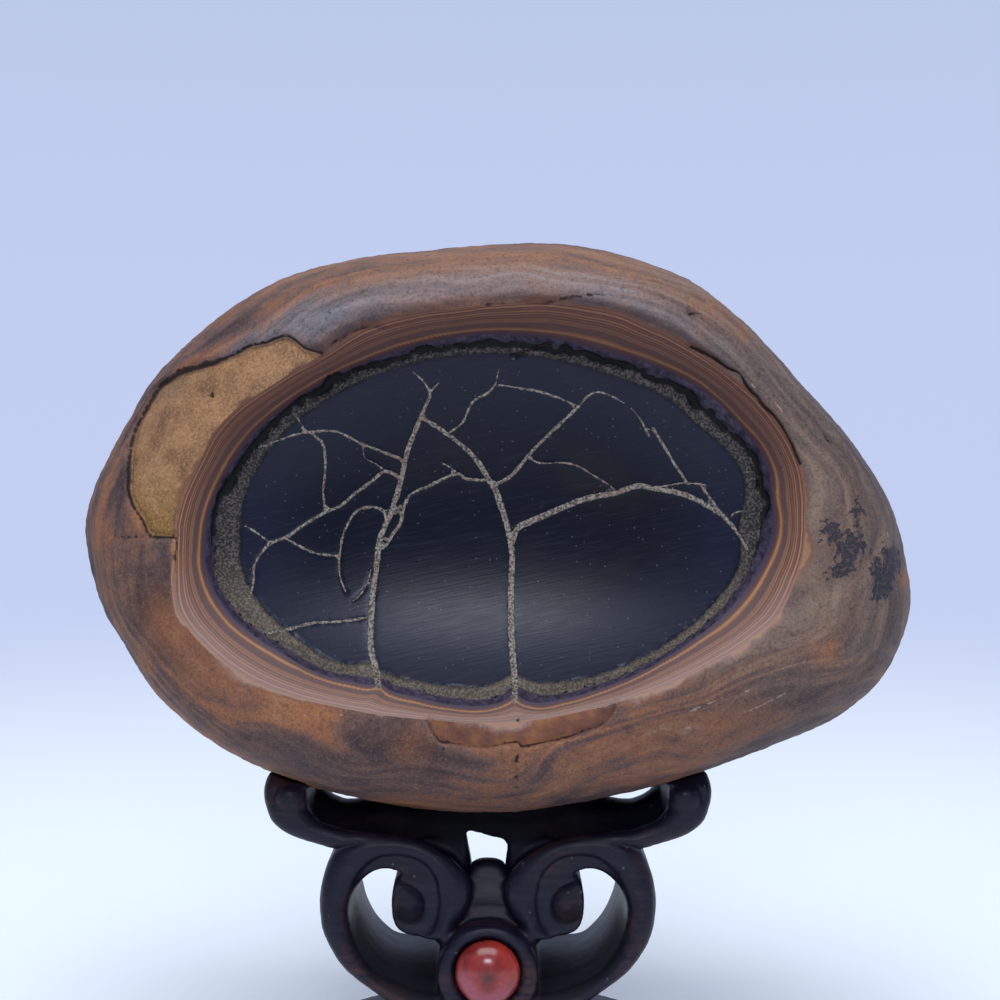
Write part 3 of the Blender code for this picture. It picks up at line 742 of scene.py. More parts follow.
def stone_relief(points, marks):
    """How far each point stands proud of the smooth stone, in millimetres."""
    layer, angles = marks["layer"], marks["angle"]
    fine = noise(points, 0.8, 3)
    coarse = noise(points, 2.6, 4)
    top = upper_share(angles)
    rise = smooth(-marks["vein"], -0.06, 0.1) * (layer < 1) * (0.06 + 0.05 * fine)

    olive = smooth(layer, 0.98, 1.1) * (1 - smooth(layer, 1.9, 2.1))
    rise += olive * (0.1 + 0.14 * fine + 0.14 * coarse)
    depth = 0.25 + 1.1 * top * (0.7 + 0.6 * noise(points, 6, 9))
    rise -= depth * bell(marks["wander"], 0.3 + 0.4 * top)
    rise += smooth(layer, 2.9, 3.1) * (1 - smooth(layer, 4.9, 5.1)) * 0.05 * fine

    rind = smooth(layer, 4.9, 5.15)
    flow = np.stack([np.cos(angles) * 14, np.sin(angles) * 14, layer * 48], axis=-1)
    rise += rind * (0.4 * noise(points, 15, 21) + 0.2 * noise(flow, 3.2, 22) + 0.08 * fine)
    rise += rind * 0.1 * noise(points, 2.2, 23)

    beyond = smooth(layer, 4.95, 5.05)
    sunk = smooth(marks["patch"], -0.05, 0.35) * beyond
    rise -= 0.95 * sunk * (1 - 0.6 * smooth(marks["patch"], 6, 18))
    rise -= sunk * 0.12 * noise(points, 5, 30, 1)
    for name, beside, wide, high in RIND_LINE_RELIEF:
        rise += high * bell(marks[name] - beside, wide) * beyond
    for name, beside, wide, high in LINE_RELIEF:
        rise += high * bell(marks[name] - beside, wide)
    for name, wide, deep in CRACK_DEPTHS:
        rise -= deep * np.clip(1 - marks[name] / wide, 0, 1)

    chip = marks["chip"]
    below = smooth(layer, 4.75, 5.0)
    rise -= 0.5 * smooth(chip, -0.15, 0.2) * below * (1 - smooth(chip, 3, 7))
    rise -= 0.35 * bell(chip - 0.2, 0.3) * below
    return rise


# --- materials ----------------------------------------------------------------------------------


class Amount:
    """A number, place or colour that a material's nodes work out at each spot of the surface."""

    def __init__(self, paint, socket):
        self.paint, self.socket = paint, socket

    def times(self, factor, plus=0.0):
        return self.paint.maths("MULTIPLY_ADD", self, factor, plus)

    def plus(self, other):
        return self.paint.maths("ADD", self, other)

    def size(self):
        return self.paint.maths("ABSOLUTE", self)

    def rise(self, low, high, first=0.0, last=1.0):
        """Goes softly from first to last as this goes from low to high."""
        inputs = ((0, self), (1, low), (2, high), (3, first), (4, last))
        return self.paint.node("MapRange", {"interpolation_type": "SMOOTHSTEP"}, *inputs)

    def ramp(self, *stops):
        """The colour at this place along the stops, each a place and a colour."""
        found = self.paint.node("ValToRGB", {}, (0, self))
        elements = found.socket.node.color_ramp.elements
        while len(elements) < len(stops):
            elements.new(0.5)
        for element, (place, colour) in zip(elements, stops):
            element.position = place
            element.color = (*linear(colour), 1)
        return found

    def under(self, *coats):
        """This colour under coats of others, each a share from 0 to 1 and a colour."""
        colour = self
        for share, over in coats:
            colour = share.mix(colour, over)
        return colour

    def mix(self, a, b):
        """Colour a where this is 0, and b where it is 1."""
        node = self.paint.add("Mix", {"data_type": "RGBA"}, ("Factor", self))
        for socket, colour in ((6, a), (7, b)):
            self.paint.feed(node.inputs[socket], colour)
        return Amount(self.paint, node.outputs[2])


class Paint:
    """Builds one material's nodes."""

    def __init__(self, name, **settings):
        self.material = bpy.data.materials.new(name)
        self.material.use_nodes = True
        self.tree = self.material.node_tree
        self.shader = self.tree.nodes["Principled BSDF"]
        for socket, value in settings.items():
            self.shader.inputs[socket.replace("_", " ")].default_value = value

    def feed(self, target, value):
        if isinstance(value, Amount):
            self.tree.links.new(value.socket, target)
        elif target.type == "RGBA":
            target.default_value = (*linear(value), 1)
        else:
            target.default_value = value

    def add(self, kind, settings, *inputs):
        node = self.tree.nodes.new("ShaderNode" + kind)
        for name, value in settings.items():
            setattr(node, name, value)
        for socket, value in inputs:
            self.feed(node.inputs[socket], value)
        return node

    def node(self, kind, settings, *inputs, output=0):
        return Amount(self, self.add(kind, settings, *inputs).outputs[output])

    def maths(self, operation, a, b=0.0, c=0.0):
        return self.node("Math", {"operation": operation}, (0, a), (1, b), (2, c))

    def value(self, name):
        return self.node("Attribute", {"attribute_name": name}, output="Fac")

    def vector(self, name):
        return self.node("Attribute", {"attribute_name": name}, output="Vector")

    def place(self):
        return self.node("TexCoord", {}, output="Object")

    def turned(self, vector, angles):
        return self.node("Mapping", {}, ("Vector", vector), ("Rotation", angles))

    def scaled(self, vector, scale):
        return self.node("Mapping", {}, ("Vector", vector), ("Scale", scale))

    def noise(self, vector, scale, detail=3.0, rough=0.5, bend=0.0):
        inputs = (("Vector", vector), ("Scale", scale), ("Detail", detail), ("Roughness", rough))
        return self.node("TexNoise", {}, *inputs, ("Distortion", bend), output="Fac")

    def cells(self, vector, scale):
        inputs = (("Vector", vector), ("Scale", scale))
        return self.node("TexVoronoi", {}, *inputs, output="Distance")

    def bump(self, height, distance, strength=1.0):
        inputs = (("Height", height), ("Distance", distance * MM), ("Strength", strength))
        return self.node("Bump", {}, *inputs)

    def link(self, amount, socket):
        self.tree.links.new(amount.socket, self.shader.inputs[socket])


def linear(colour):
    """Colour values of 0 to 255, as seen on a screen, as Blender's own."""
    return tuple(((c / 255 + 0.055) / 1.055) ** 2.4 if c > 10 else c / 255 / 12.92 for c in colour)


class StonePaint(Paint):
    """The stone's paint, with the random patterns that its layers share."""

    def __init__(self):
        super().__init__("banded_stone", Specular_IOR_Level=0.16)
        place = self.place()
        self.layer = self.value("layer")
        self.low = self.value("low")
        self.shaded = self.value("shaded")
        self.grain = self.noise(place, 2400, 1)
        self.fine = self.noise(place, 800, 2, 0.65)
        self.medium = self.noise(place, 190, 3, 0.6)
        self.large = self.noise(place, 48, 2)
        self.wave = self.noise(place, 75, 2).times(0.2, -0.1)
        self.dots = self.cells(place, 640).rise(0.05, 0.12, 0.35, 0)
        self.brushed = self.noise(self.scaled(self.turned(place, (0, 0.2, 0)), (170, 170, 2600)), 1, 2)
        self.ragged = self.fine.times(1.1, -0.55)
        self.rough_edge = self.fine.plus(-0.5)
        self.in_vein = self.rough_edge.times(0.5, self.value("vein")).rise(-0.08, 0.05, 1, 0)
        self.past_core = self.value("core_away").plus(self.ragged).rise(-0.1, 0.2)
        self.past_bands = self.outer().rise(4.98, 5.01)

    def outer(self):
        """The layer, with the uneven edge that the bands have toward the rind."""
        return self.ragged.times(0.035, self.layer.plus(self.wave))


def grit_colour(paint):
    """The pale grit of the veins."""
    grit = paint.grain.ramp((0.34, (58, 53, 50)), (0.48, (104, 96, 88)), (0.64, (142, 132, 120)))
    return paint.medium.rise(0.5, 0.62, 0, 0.35).mix(grit, (116, 86, 80))


def core_colour(paint, grit):
    """The dark polished core and its veins."""
    core = paint.large.ramp((0.35, (7, 10, 25)), (0.52, (9, 11, 25)), (0.68, (19, 18, 26)))
    return core.under(
        (paint.brushed.rise(0.5, 0.8, 0, 0.09), (62, 66, 86)),
        (paint.value("core_away").rise(-18, -1, 0, 0.42), (36, 39, 57)),
        (paint.dots, (110, 112, 124)),
        (paint.in_vein, grit),
    )


def olive_colour(paint):
    """The granular layer round the core, which is paler along the bottom."""
    salt = paint.grain.rise(0.35, 0.68)
    olive = salt.ramp((0.1, (35, 32, 33)), (0.5, (56, 51, 50)), (0.9, (80, 73, 69)))
    return paint.low.times(salt.rise(0.1, 0.9, 0.36, 0.66)).mix(olive, (120, 106, 90))


def bands_colour(paint, ring):
    """The orange line and the fine bands, from the inside out."""
    bands = ring.times(0.5, -1.5).ramp(
        (0.0, (60, 52, 68)),
        (0.2, (68, 56, 70)),
        (0.3, (82, 56, 54)),
        (0.4, (110, 74, 56)),
        (0.462, (162, 116, 80)),
        (0.498, (154, 108, 74)),
        (0.54, (98, 70, 60)),
        (0.6, (84, 66, 68)),
        (0.65, (118, 82, 66)),
        (0.8, (112, 74, 60)),
        (0.93, (124, 84, 66)),
        (0.97, (132, 92, 70)),
        (1.0, (116, 80, 64)),
    )
    inputs = (("W", ring.times(15.0)), ("Scale", 1.0), ("Detail", 2.0), ("Roughness", 0.75))
    lines = paint.node("TexNoise", {"noise_dimensions": "1D"}, *inputs, output="Fac")
    past_orange = ring.rise(4.15, 4.3)
    return bands.under(
        (past_orange.times(lines.rise(0.5, 0.36, 0, 0.6)), (58, 36, 38)),
        (past_orange.times(lines.rise(0.54, 0.66, 0, 0.6)), (176, 132, 98)),
        (paint.low.times(ring.rise(4.2, 4.9, 0.1, 0.52)), (160, 136, 128)),
        (paint.shaded.times(0.6), (58, 34, 32)),
    )


def rind_colour(paint):
    """The weathered rind: streaks that run round the stone, with its stains and spots, a painted sheen
    along the top crest, painted light over the top, painted shade low down and a painted shadow under the
    crest.
    """
    flow, fine, grain = paint.vector("flow"), paint.fine, paint.grain
    broad = paint.noise(paint.scaled(flow, (0.7, 0.7, 0.2)), 1.0, 3, 0.55, 0.5)
    streak = paint.noise(flow, 1.0, 4, 0.58, 0.2)
    cloud = paint.medium.times(0.2, broad.times(0.5, streak.times(0.3)))
    rind = cloud.ramp(
        (0.4, (58, 45, 47)),
        (0.46, (84, 64, 60)),
        (0.5, (106, 78, 68)),
        (0.54, (130, 86, 62)),
        (0.58, (144, 96, 66)),
        (0.65, (144, 116, 96)),
    )
    # painted sheen: the blue-grey that the top crest shows where it catches the light
    painted_sheen = streak.ramp((0.35, (90, 86, 90)), (0.5, (112, 111, 118)), (0.65, (130, 130, 139)))
    earth = streak.ramp((0.35, (86, 72, 68)), (0.5, (106, 90, 82)), (0.65, (126, 108, 94)))
    flake = paint.medium.ramp((0.35, (88, 54, 46)), (0.5, (116, 72, 54)), (0.65, (140, 92, 58)))
    stain = fine.times(2.8, paint.value("blotch").plus(-1.4)).rise(0.5, 0.8, 0, 0.95)
    scuff = fine.times(1.5, paint.value("scuff").plus(-1.0))
    return rind.under(
        (paint.value("grey").rise(0.05, 0.8, 0, 0.85), earth),
        # painted sheen along the top crest
        (paint.value("painted_sheen"), painted_sheen),
        (paint.value("amber"), (156, 100, 64)),
        # painted light: paler over the top of the stone, where the overhead light falls
        (paint.value("crown"), (168, 134, 112)),
        # painted shade: darker low down and at the lower right, away from the overhead light
        (paint.value("painted_low_shade"), (70, 54, 56)),
        (fine.rise(0.48, 0.3, 0, 0.3), (44, 34, 36)),
        (grain.rise(0.5, 0.3, 0, 0.3), (50, 40, 42)),
        (grain.rise(0.54, 0.7, 0, 0.12), (166, 138, 114)),
        (stain.times(grain.rise(0.34, 0.5, 0.5)), (42, 42, 52)),
        # painted shadow under the overhanging crest
        (paint.value("painted_overhang_shadow"), (48, 36, 40)),
        (scuff.rise(0.5, 0.7, 0, 0.45), (166, 152, 142)),
        (paint.value("chip").rise(-0.1, 0.25, 0, 0.8), flake),
    )


def sand_colour(paint):
    """The sandy patch at the upper left."""
    sand = paint.medium.ramp((0.3, (112, 82, 60)), (0.46, (138, 101, 70)), (0.62, (152, 114, 80)))
    return sand.under(
        (paint.large.rise(0.48, 0.62, 0, 0.6), (110, 84, 66)),
        (paint.value("ochre").times(0.7), (126, 94, 44)),
        (paint.grain.rise(0.54, 0.68, 0, 0.45), (84, 58, 42)),
        (paint.grain.rise(0.44, 0.32, 0, 0.35), (184, 148, 108)),
    )


def stone_material():
    paint = StonePaint()
    grit = grit_colour(paint)
    past_groove = paint.value("groove_away").plus(paint.ragged).rise(-0.2, 0.2)
    dark = paint.fine.ramp((0.34, (36, 31, 42)), (0.5, (54, 47, 62)), (0.7, (72, 64, 80)))
    ring = paint.layer.plus(paint.wave)
    # a thin pale border between the bands and the rind, where it isn't in shade
    border = paint.outer().plus(-4.975).size().rise(0.004, 0.014, 0.5, 0)
    in_light = paint.maths("SUBTRACT", 1.0, paint.shaded)
    in_patch = paint.ragged.times(0.5, paint.value("patch")).rise(0.0, 0.25)
    groove = paint.rough_edge.times(1.3, paint.value("groove"))
    crack = paint.rough_edge.times(1.1, paint.value("crack"))
    worn_lip_and_highlight = paint.rough_edge.times(1.2, paint.value("worn_lip_and_highlight"))
    colour = core_colour(paint, grit).under(
        (paint.past_core, olive_colour(paint)),
        (paint.value("core_away").size().rise(0.1, 0.7, 0.5, 0), (14, 14, 18)),
        (past_groove, dark),
        (ring.rise(2.95, 3.05), bands_colour(paint, ring)),
        (paint.in_vein.times(ring.rise(3.7, 4.3, 0.9, 0)), grit),
        (paint.past_bands, rind_colour(paint)),
        (border.times(in_light), (178, 134, 100)),
        (in_patch.times(paint.past_bands), sand_colour(paint)),
        (groove.rise(0.36, 0.56, 0, 0.96), (10, 9, 10)),
        (crack.rise(0.3, 0.75, 0, 0.92), (30, 18, 18)),
        # pale worn edges, and the painted highlight along the right-hand ridge
        (worn_lip_and_highlight.rise(0.35, 0.8, 0, 0.6), (176, 140, 116)),
    )
    paint.link(colour, "Base Color")

    roughness = paint.brushed.times(0.12, paint.past_core.times(0.36, 0.2))
    roughness = paint.value("painted_sheen").times(-0.12, paint.in_vein.times(0.2, roughness))
    paint.link(roughness, "Roughness")

    relief = paint.fine.times(paint.past_core.times(1.3, 0.03))
    relief = paint.in_vein.times(0.4, paint.brushed.times(0.08, relief))
    paint.link(paint.bump(relief, 0.2, 0.7), "Normal")
    return paint.material


# --- meshes -------------------------------------------------------------------------------------

LATHE_STEPS = 96


def mesh_object(name, points, faces, material, values=()):
    """A smooth object from points in millimetres, with a number or a vector kept at each."""
    mesh = bpy.data.meshes.new(name)
    mesh.vertices.add(len(points))
    mesh.vertices.foreach_set("co", ((points + SHIFT) * MM).astype(np.float32).ravel())
    mesh.loops.add(faces.size)
    mesh.loops.foreach_set("vertex_index", faces.astype(np.int32).ravel())
    mesh.polygons.add(len(faces))
    size = faces.shape[1]
    mesh.polygons.foreach_set("loop_start", np.arange(0, faces.size, size, dtype=np.int32))
    mesh.update(calc_edges=True)
    mesh.validate()
    mesh.shade_smooth()
    for key, numbers in dict(values).items():
        if numbers.ndim == 1:
            layer = mesh.attributes.new(key, "FLOAT", "POINT")
            layer.data.foreach_set("value", numbers.astype(np.float32))
        else:
            layer = mesh.attributes.new(key, "FLOAT_VECTOR", "POINT")
            layer.data.foreach_set("vector", numbers.astype(np.float32).ravel())
    mesh.materials.append(material)
    obj = bpy.data.objects.new(name, mesh)
    bpy.context.scene.collection.objects.link(obj)
    return obj


def lathe(profile, closed):
    """(points, faces) of a profile of (out, up) turned about the line where it starts.

    A closed profile ends there too.
    """
    number = np.arange(LATHE_STEPS)
    after = (number + 1) % LATHE_STEPS
    angles = number * TURN / LATHE_STEPS
    circle = np.stack([np.cos(angles), np.sin(angles), 0 * angles], axis=-1)
    rings = [out * circle + (0, 0, up) for out, up in profile[1:]]
    if closed:
        rings[-1] = rings[-1][:1]
    points = np.vstack([[(0, 0, profile[0][1])], *rings])
    faces = [(0 * number, 1 + number, 1 + after)]
    for ring in range(len(profile) - 2 - closed):
        inner = 1 + ring * LATHE_STEPS
        outer = inner + LATHE_STEPS
        faces.append((inner + number, outer + number, outer + after))
        faces.append((inner + number, outer + after, inner + after))
    if closed:
        last, end = len(points) - 1 - LATHE_STEPS, len(points) - 1
        faces.append((last + number, 0 * number + end, last + after))
    return points, np.hstack(faces).T


# --- stone: what its material reads -------------------------------------------------------------


def crack_marks(points, marks):
    """How dark the cracks are and how pale the edges beside them, as a pair. The dark line along the sandy
    patch's edge is a crevice with painted shadow from its ledge, and the pale line down the right-hand
    ridge is a painted highlight; the other pale edges are wear.
    """
    layer = marks["layer"]
    x, _, z = (points - (OVAL_X, 0, OVAL_Z)).T
    beyond = smooth(layer, 4.97, 5.02)
    rind_side = smooth(layer, 4.99, 5.01)
    uneven = 0.75 + 0.45 * noise(points, 5, 54)
    shake = 0.3 * noise(points, 1.3, 57)
    dotted = 0.55 + 0.9 * noise(points, 1.2, 63)
    crack = bell(marks["crack"], 0.34)
    crack += bell(marks["upper_ledge"] + shake, 0.28 * uneven) * 0.8
    crack += bell(marks["seam"] + shake, 0.4 * uneven) * 0.7
    crack += bell(marks["top_crack"] + shake, 0.35) * 0.9
    # a crevice with painted shadow from the overhanging ledge, along the sandy patch's edge
    crack += bell(marks["patch"] + 0.05, (0.2 + 0.14 * smooth(z, 8, 26)) * uneven) * beyond
    crack += 0.85 * bell(marks["chip"] - 0.25, 0.26 * uneven) * rind_side
    crack += dotted * bell(marks["split"], 0.3) * smooth(layer, 3.9, 4.0)
    crack += 0.75 * bell(marks["left_split"], 0.22)
    crack += 0.9 * bell(marks["pit"], 0.5)
    worn_lip_and_highlight = 0.5 * bell(marks["chip"] + 0.25, 0.2) * rind_side
    # painted highlight along the right-hand ridge
    worn_lip_and_highlight += 0.7 * bell(marks["ridge"], 0.3) * beyond * smooth(x, 50, 60)
    worn_lip_and_highlight += 0.6 * bell(marks["patch"] - 0.35, 0.25) * beyond
    return np.clip(crack, 0, 1), worn_lip_and_highlight


def front_stains_and_painted_light(points, marks):
    """Stains of the front's rind, with the painted sheen along the top crest and the painted shadow under
    it, each from 0 to 1.
    """
    layer, up = marks["layer"], np.sin(marks["angle"])
    x, _, z = (points - (OVAL_X, 0, OVAL_Z)).T
    blotch = np.zeros(len(points))
    for at_x, at_z, wide, high in BLOTCHES:
        blotch += np.exp(-(((x - at_x) / wide) ** 2 + ((z - at_z) / high) ** 2))
    amber = np.zeros(len(points))
    uneven_x, uneven_z = 2.5 * noise(points, 6, 60), 2.5 * noise(points, 6, 62)
    for at_x, at_z, wide, strong in AMBER_SPOTS:
        amber += strong * bell(np.hypot(x + uneven_x - at_x, z + uneven_z - at_z), wide)
    # painted sheen: a blue-grey wash along the top crest, where it faces the overhead light
    painted_sheen = smooth(layer, 4.98, 5.1) * (1 - smooth(layer, 5.16, 5.4)) * smooth(up, 0.45, 0.8)
    painted_sheen *= (0.75 + 0.35 * noise(points, 12, 55)) * (1 - 0.75 * smooth(x, 14, 38))
    # painted shadow: a dark line where the crest overhangs the top of the bands
    painted_overhang_shadow = 0.65 * bell(layer - 5.015, 0.03) * smooth(up, 0.2, 0.7)
    painted_overhang_shadow *= 0.75 + 0.6 * noise(points, 9, 59)
    stains = {"blotch": blotch, "amber": amber, "painted_sheen": painted_sheen, "painted_overhang_shadow": painted_overhang_shadow}
    return {name: np.clip(stain, 0, 1) * marks["front"] for name, stain in stains.items()}


def streak_flow(points, marks):
    """Places in the pattern of the rind's streaks, which run round the stone."""
    layer, angles = marks["layer"], marks["angle"]
    x, y, z = (points - (OVAL_X, 0, OVAL_Z)).T
    wavy = noise(points, 17, 53) * 1.7
    around = np.stack([np.cos(angles) * 1.9, np.sin(angles) * 1.9, (layer - 5) * 14 + wavy], axis=-1)
    # low at the right they run straight, rising a little
    along, rising = x * 0.955 + z * 0.296, z * 0.955 - x * 0.296
    straight = np.stack([along * 0.03, y * 0.03 - 1.9, wavy - 0.4 * (rising + 27)], axis=-1)
    share = (smooth(x, 0, 22) * smooth(-z, 20, 31) * smooth(layer, 5.0, 5.15))[:, None]
    flow = around * (1 - share) + straight * share
    # over the back they run from side to side
    level = np.stack([x * 0.03, y * 0.03, z * 0.22 + noise(points, 25, 56) * 2.2], axis=-1)
    share = smooth(layer, 6.02, 6.4)[:, None]
    return flow * (1 - share) + level * share


def stone_values(points, marks):
    """The numbers that the stone's material reads at each point."""
    x, _, z = (points - (OVAL_X, 0, OVAL_Z)).T
    up = np.sin(marks["angle"])
    top = upper_share(marks["angle"])
    crack, worn_lip_and_highlight = crack_marks(points, marks)
    grey = smooth(x, 12, 46) * smooth(z, -56, -6) * 0.8
    lower_right = smooth(x, 5, 35) * smooth(-z, 20, 32) * (1 - smooth(-z, 36, 46))
    kept = ("layer", "vein", "patch", "chip", "groove_away", "core_away")
    return {
        **{name: marks[name] for name in kept},
        **front_stains_and_painted_light(points, marks),
        "crack": crack,
        "worn_lip_and_highlight": worn_lip_and_highlight,
        "groove": bell(marks["wander"], 0.28 + 0.3 * top) * (0.45 + 0.6 * top),
        "scuff": bell(marks["scuff"], 0.45),
        "grey": grey + smooth(noise(points, 20, 52), 0.2, 0.9) * 0.35,
        # painted light over the top of the stone
        "crown": 0.3 * smooth(z, 34, 50),
        # painted shade low down and at the lower right
        "painted_low_shade": 0.4 * smooth(-z, 33, 48) + 0.3 * lower_right,
        "shaded": smooth(up, -0.35, 0.55),
        "low": smooth(-up, 0.1, 0.6),
        "ochre": 1 - smooth(z, -1, 9),
        "flow": streak_flow(points, marks),
    }


def stone():
    points, faces, marks = stone_shape()
    marks["wander"] = groove_wander(points, marks)
    points = points + vertex_normals(points, faces) * stone_relief(points, marks)[:, None]
    values = stone_values(points, marks)
    piece = mesh_object("stone_banded", points, faces, stone_material(), values)
    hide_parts("stone")
    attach(piece, "root")
    return piece


# --- stand --------------------------------------------------------------------------------------

STEP_X, STEP_Y, STEP_Z = 0.5, 0.75, 0.5
GRID_X = np.arange(0, 43.01, STEP_X)
GRID_Y = np.arange(-26.25, 21.01, STEP_Y)
GRID_Z = np.arange(-1.5, 62.01, STEP_Z)
# The half grid's places, spread so that sums of them fill it, and its front view.
X, Y, Z = GRID_X[:, None, None], GRID_Y[None, :, None], GRID_Z[None, None, :]
PLAN_X, PLAN_Z = np.meshgrid(GRID_X, GRID_Z, indexing="ij")
PLAN = np.stack([PLAN_X.ravel(), PLAN_Z.ravel()], axis=-1)


def closed_line(outline):
    """A closed outline as many short straight steps, smooth except at its sharp corners."""
    corners = [n for n, point in enumerate(outline) if len(point) > 2]
    turned = outline[corners[0]:] + outline[: corners[0] + 1]
    places = np.array([p[:2] for p in turned], float)
    stops = [n for n, point in enumerate(turned) if len(point) > 2]
    found = []
    for first, last in zip(stops, stops[1:]):
        line, _ = fine_line(places[first : last + 1], 0.45)
        found.append(line[:-1])
    return np.vstack(found)


def outline_depth(outline):
    """How far inside the outline each place of the half grid is, over x and z."""
    line = closed_line(outline)
    best = np.full(len(PLAN), 1e9)
    for a, b in zip(line, np.roll(line, -1, axis=0)):
        along = b - a
        t = np.clip(((PLAN - a) @ along) / max(along @ along, 1e-9), 0, 1)
        away = PLAN - a - t[:, None] * along
        best = np.minimum(best, (away**2).sum(axis=1))
    depth = np.where(inside(line, PLAN), 1, -1) * np.sqrt(best)
    return depth.reshape(PLAN_X.shape)


def height_over(line):
    """The height of a line given as (x, z), over the half grid."""
    return np.interp(GRID_X, *np.array(line, float).T)[:, None, None]


def most(*fields):
    """What lies inside all of the fields."""
    return functools.reduce(np.maximum, fields)


def soft_least(a, b, reach):
    """The smaller of two fields, with a fillet where they meet."""
    h = np.clip(0.5 + 0.5 * (b - a) / reach, 0, 1)
    return b + (a - b) * h - reach * h * (1 - h)


def soft_most(a, b, reach):
    return -soft_least(-a, -b, reach)


def crown(depth, width, rise):
    """How far the face falls back near an outline: rise at the edge, nothing beyond width."""
    t = 1 - np.clip(depth / width, 0, 1)
    return rise * (1 - np.sqrt(np.clip(1 - t * t, 0, 1)))


def slab_field(depth, front, back, rounding):
    """Less than nothing inside a flat piece; front and back may vary over x and z."""
    front = np.broadcast_to(front, depth.shape)[:, None, :] - Y
    back = Y - np.broadcast_to(back, depth.shape)[:, None, :]
    return soft_most(soft_most(-depth[:, None, :], front, rounding), back, rounding)


def hook_relief():
    """The hook: a round button in a winding groove, under a face that leans back to the stone."""
    x, z = PLAN_X, PLAN_Z
    away = np.hypot(x - HOOK_EYE_X, z - HOOK_EYE_Z)
    turn = np.arctan2(z - HOOK_EYE_Z, HOOK_EYE_X - x)
    winding = HOOK_EYE_RADIUS + 0.35 * np.sin(turn)
    upper = smooth(z, HOOK_EYE_Z - 2.5, HOOK_EYE_Z + 1.5)
    relief = 1.1 * bell(away - winding, 0.6) * smooth(x, 32, 33.5) * upper
    relief -= 0.6 * smooth(winding - away, 0, 2.2)
    return relief + 1.3 * np.clip(z - 57.6 + 0.16 * (x - 36), 0, 4)


def carved_front(scroll, eye):
    """How far the scroll's carved face lies behind its foremost plane, over x and z."""
    inner, dish = outline_depth(INNER_BAND), outline_depth(LOBE_DISH)
    band = smooth(inner, -0.2, 0.3)
    outer_edge = np.minimum(np.minimum(scroll, -eye), np.maximum(-inner, 0) + 0.5)
    below = 1.9 + crown(np.minimum(-eye, np.maximum(inner, 0) + 0.7), 2.6, 1.2)
    face = crown(outer_edge, 3.8, 2.6) * (1 - band) + below * band
    face += smooth(dish, -0.2, 0.5) * (0.9 + 0.8 * np.clip(dish, 0, 2.2))
    gap, _ = distance_to(fine_line(CREASE, 0.3)[0], PLAN)
    crease = 1.1 * bell(gap.reshape(PLAN_X.shape), 0.5) * smooth(PLAN_X, 21.5, 25)
    return face + hook_relief() + crease


def boss_field():
    """The round boss: a thick soft rim round the socket, and a plain face behind."""
    outer = BOSS_RADIUS - np.hypot(PLAN_X, PLAN_Z - BOSS_Z)
    inner = np.hypot(PLAN_X, PLAN_Z - CABOCHON_Z) - SOCKET_RADIUS
    face = BOSS_FRONT_Y + crown(np.clip(outer, 0, 9), 1.7, 1.4) + crown(np.clip(inner, 0, 9), 1.3, 0.8)
    solid = slab_field(outer, face, BOSS_BACK_Y, 0.8)
    socket = slab_field(-inner, BOSS_FRONT_Y - 9, SOCKET_FLOOR_Y, 0.1)
    return solid, socket


def both_sides():
    """The grid's x over the whole stand."""
    return np.concatenate([-GRID_X[:0:-1], GRID_X])


def stone_underside(stone_piece):
    """Height of the stone's underside over the whole grid of x and y, in the stand's frame."""
    tree = BVHTree.FromObject(stone_piece, bpy.context.evaluated_depsgraph_get())
    whole = both_sides()
    height = np.full((len(whole), len(GRID_Y)), 200.0)
    for i, x in enumerate(whole):
        for j, y in enumerate(GRID_Y):
            start = Vector((x + SHIFT[0], y + SHIFT[1], 20.0)) * MM
            hit = tree.ray_cast(start, Vector((0, 0, 1)))[0]
            if hit is not None:
                height[i, j] = hit.z / MM
    return height


def surface_net(field, low, step):
    """Quads over the places where the field passes nothing, with a point in each cell it crosses."""
    solid = field < 0
    count = solid[:-1, :-1, :-1].astype(np.int8)
    shape = count.shape
    total = np.zeros(shape + (3,))
    crossings = np.zeros(shape)
    corners = list(itertools.product((0, 1), repeat=3))

    def part(array, corner):
        return array[tuple(slice(c, c + n) for c, n in zip(corner, shape))]

    for a in corners:
        for axis in range(3):
            if a[axis]:
                continue
            b = tuple(1 if n == axis else c for n, c in enumerate(a))
            first, last = part(field, a), part(field, b)
            crossed = (first < 0) != (last < 0)
            share = np.where(crossed, first / np.where(crossed, first - last, 1), 0)
            crossings += crossed
            for n in range(3):
                total[..., n] += crossed * (a[n] + (share if n == axis else 0))
    used = crossings > 0
    number = np.full(shape, -1)
    number[used] = np.arange(used.sum())
    cells = np.argwhere(used)
    points = low + (cells + total[used] / crossings[used][:, None]) * step

    quads = []
    for axis in range(3):
        others = [n for n in range(3) if n != axis]
        ends = [slice(None)] * 3
        ends[axis] = slice(0, -1)
        first = solid[tuple(ends)]
        ends[axis] = slice(1, None)
        last = solid[tuple(ends)]
        at = np.argwhere(first != last)
        at = at[(at[:, others[0]] > 0) & (at[:, others[1]] > 0)]
        at = at[(at[:, others[0]] < shape[others[0]]) & (at[:, others[1]] < shape[others[1]])]
        sides = []
        for back_u, back_v in ((0, 0), (1, 0), (1, 1), (0, 1)):
            cell = at.copy()
            cell[:, others[0]] -= back_u
            cell[:, others[1]] -= back_v
            sides.append(number[tuple(cell.T)])
        quad = np.stack(sides, axis=-1)
        turn_round = first[tuple(at.T)] == (axis == 1)
        quad[turn_round] = quad[turn_round][:, ::-1]
        quads.append(quad)
    return points, np.vstack(quads)


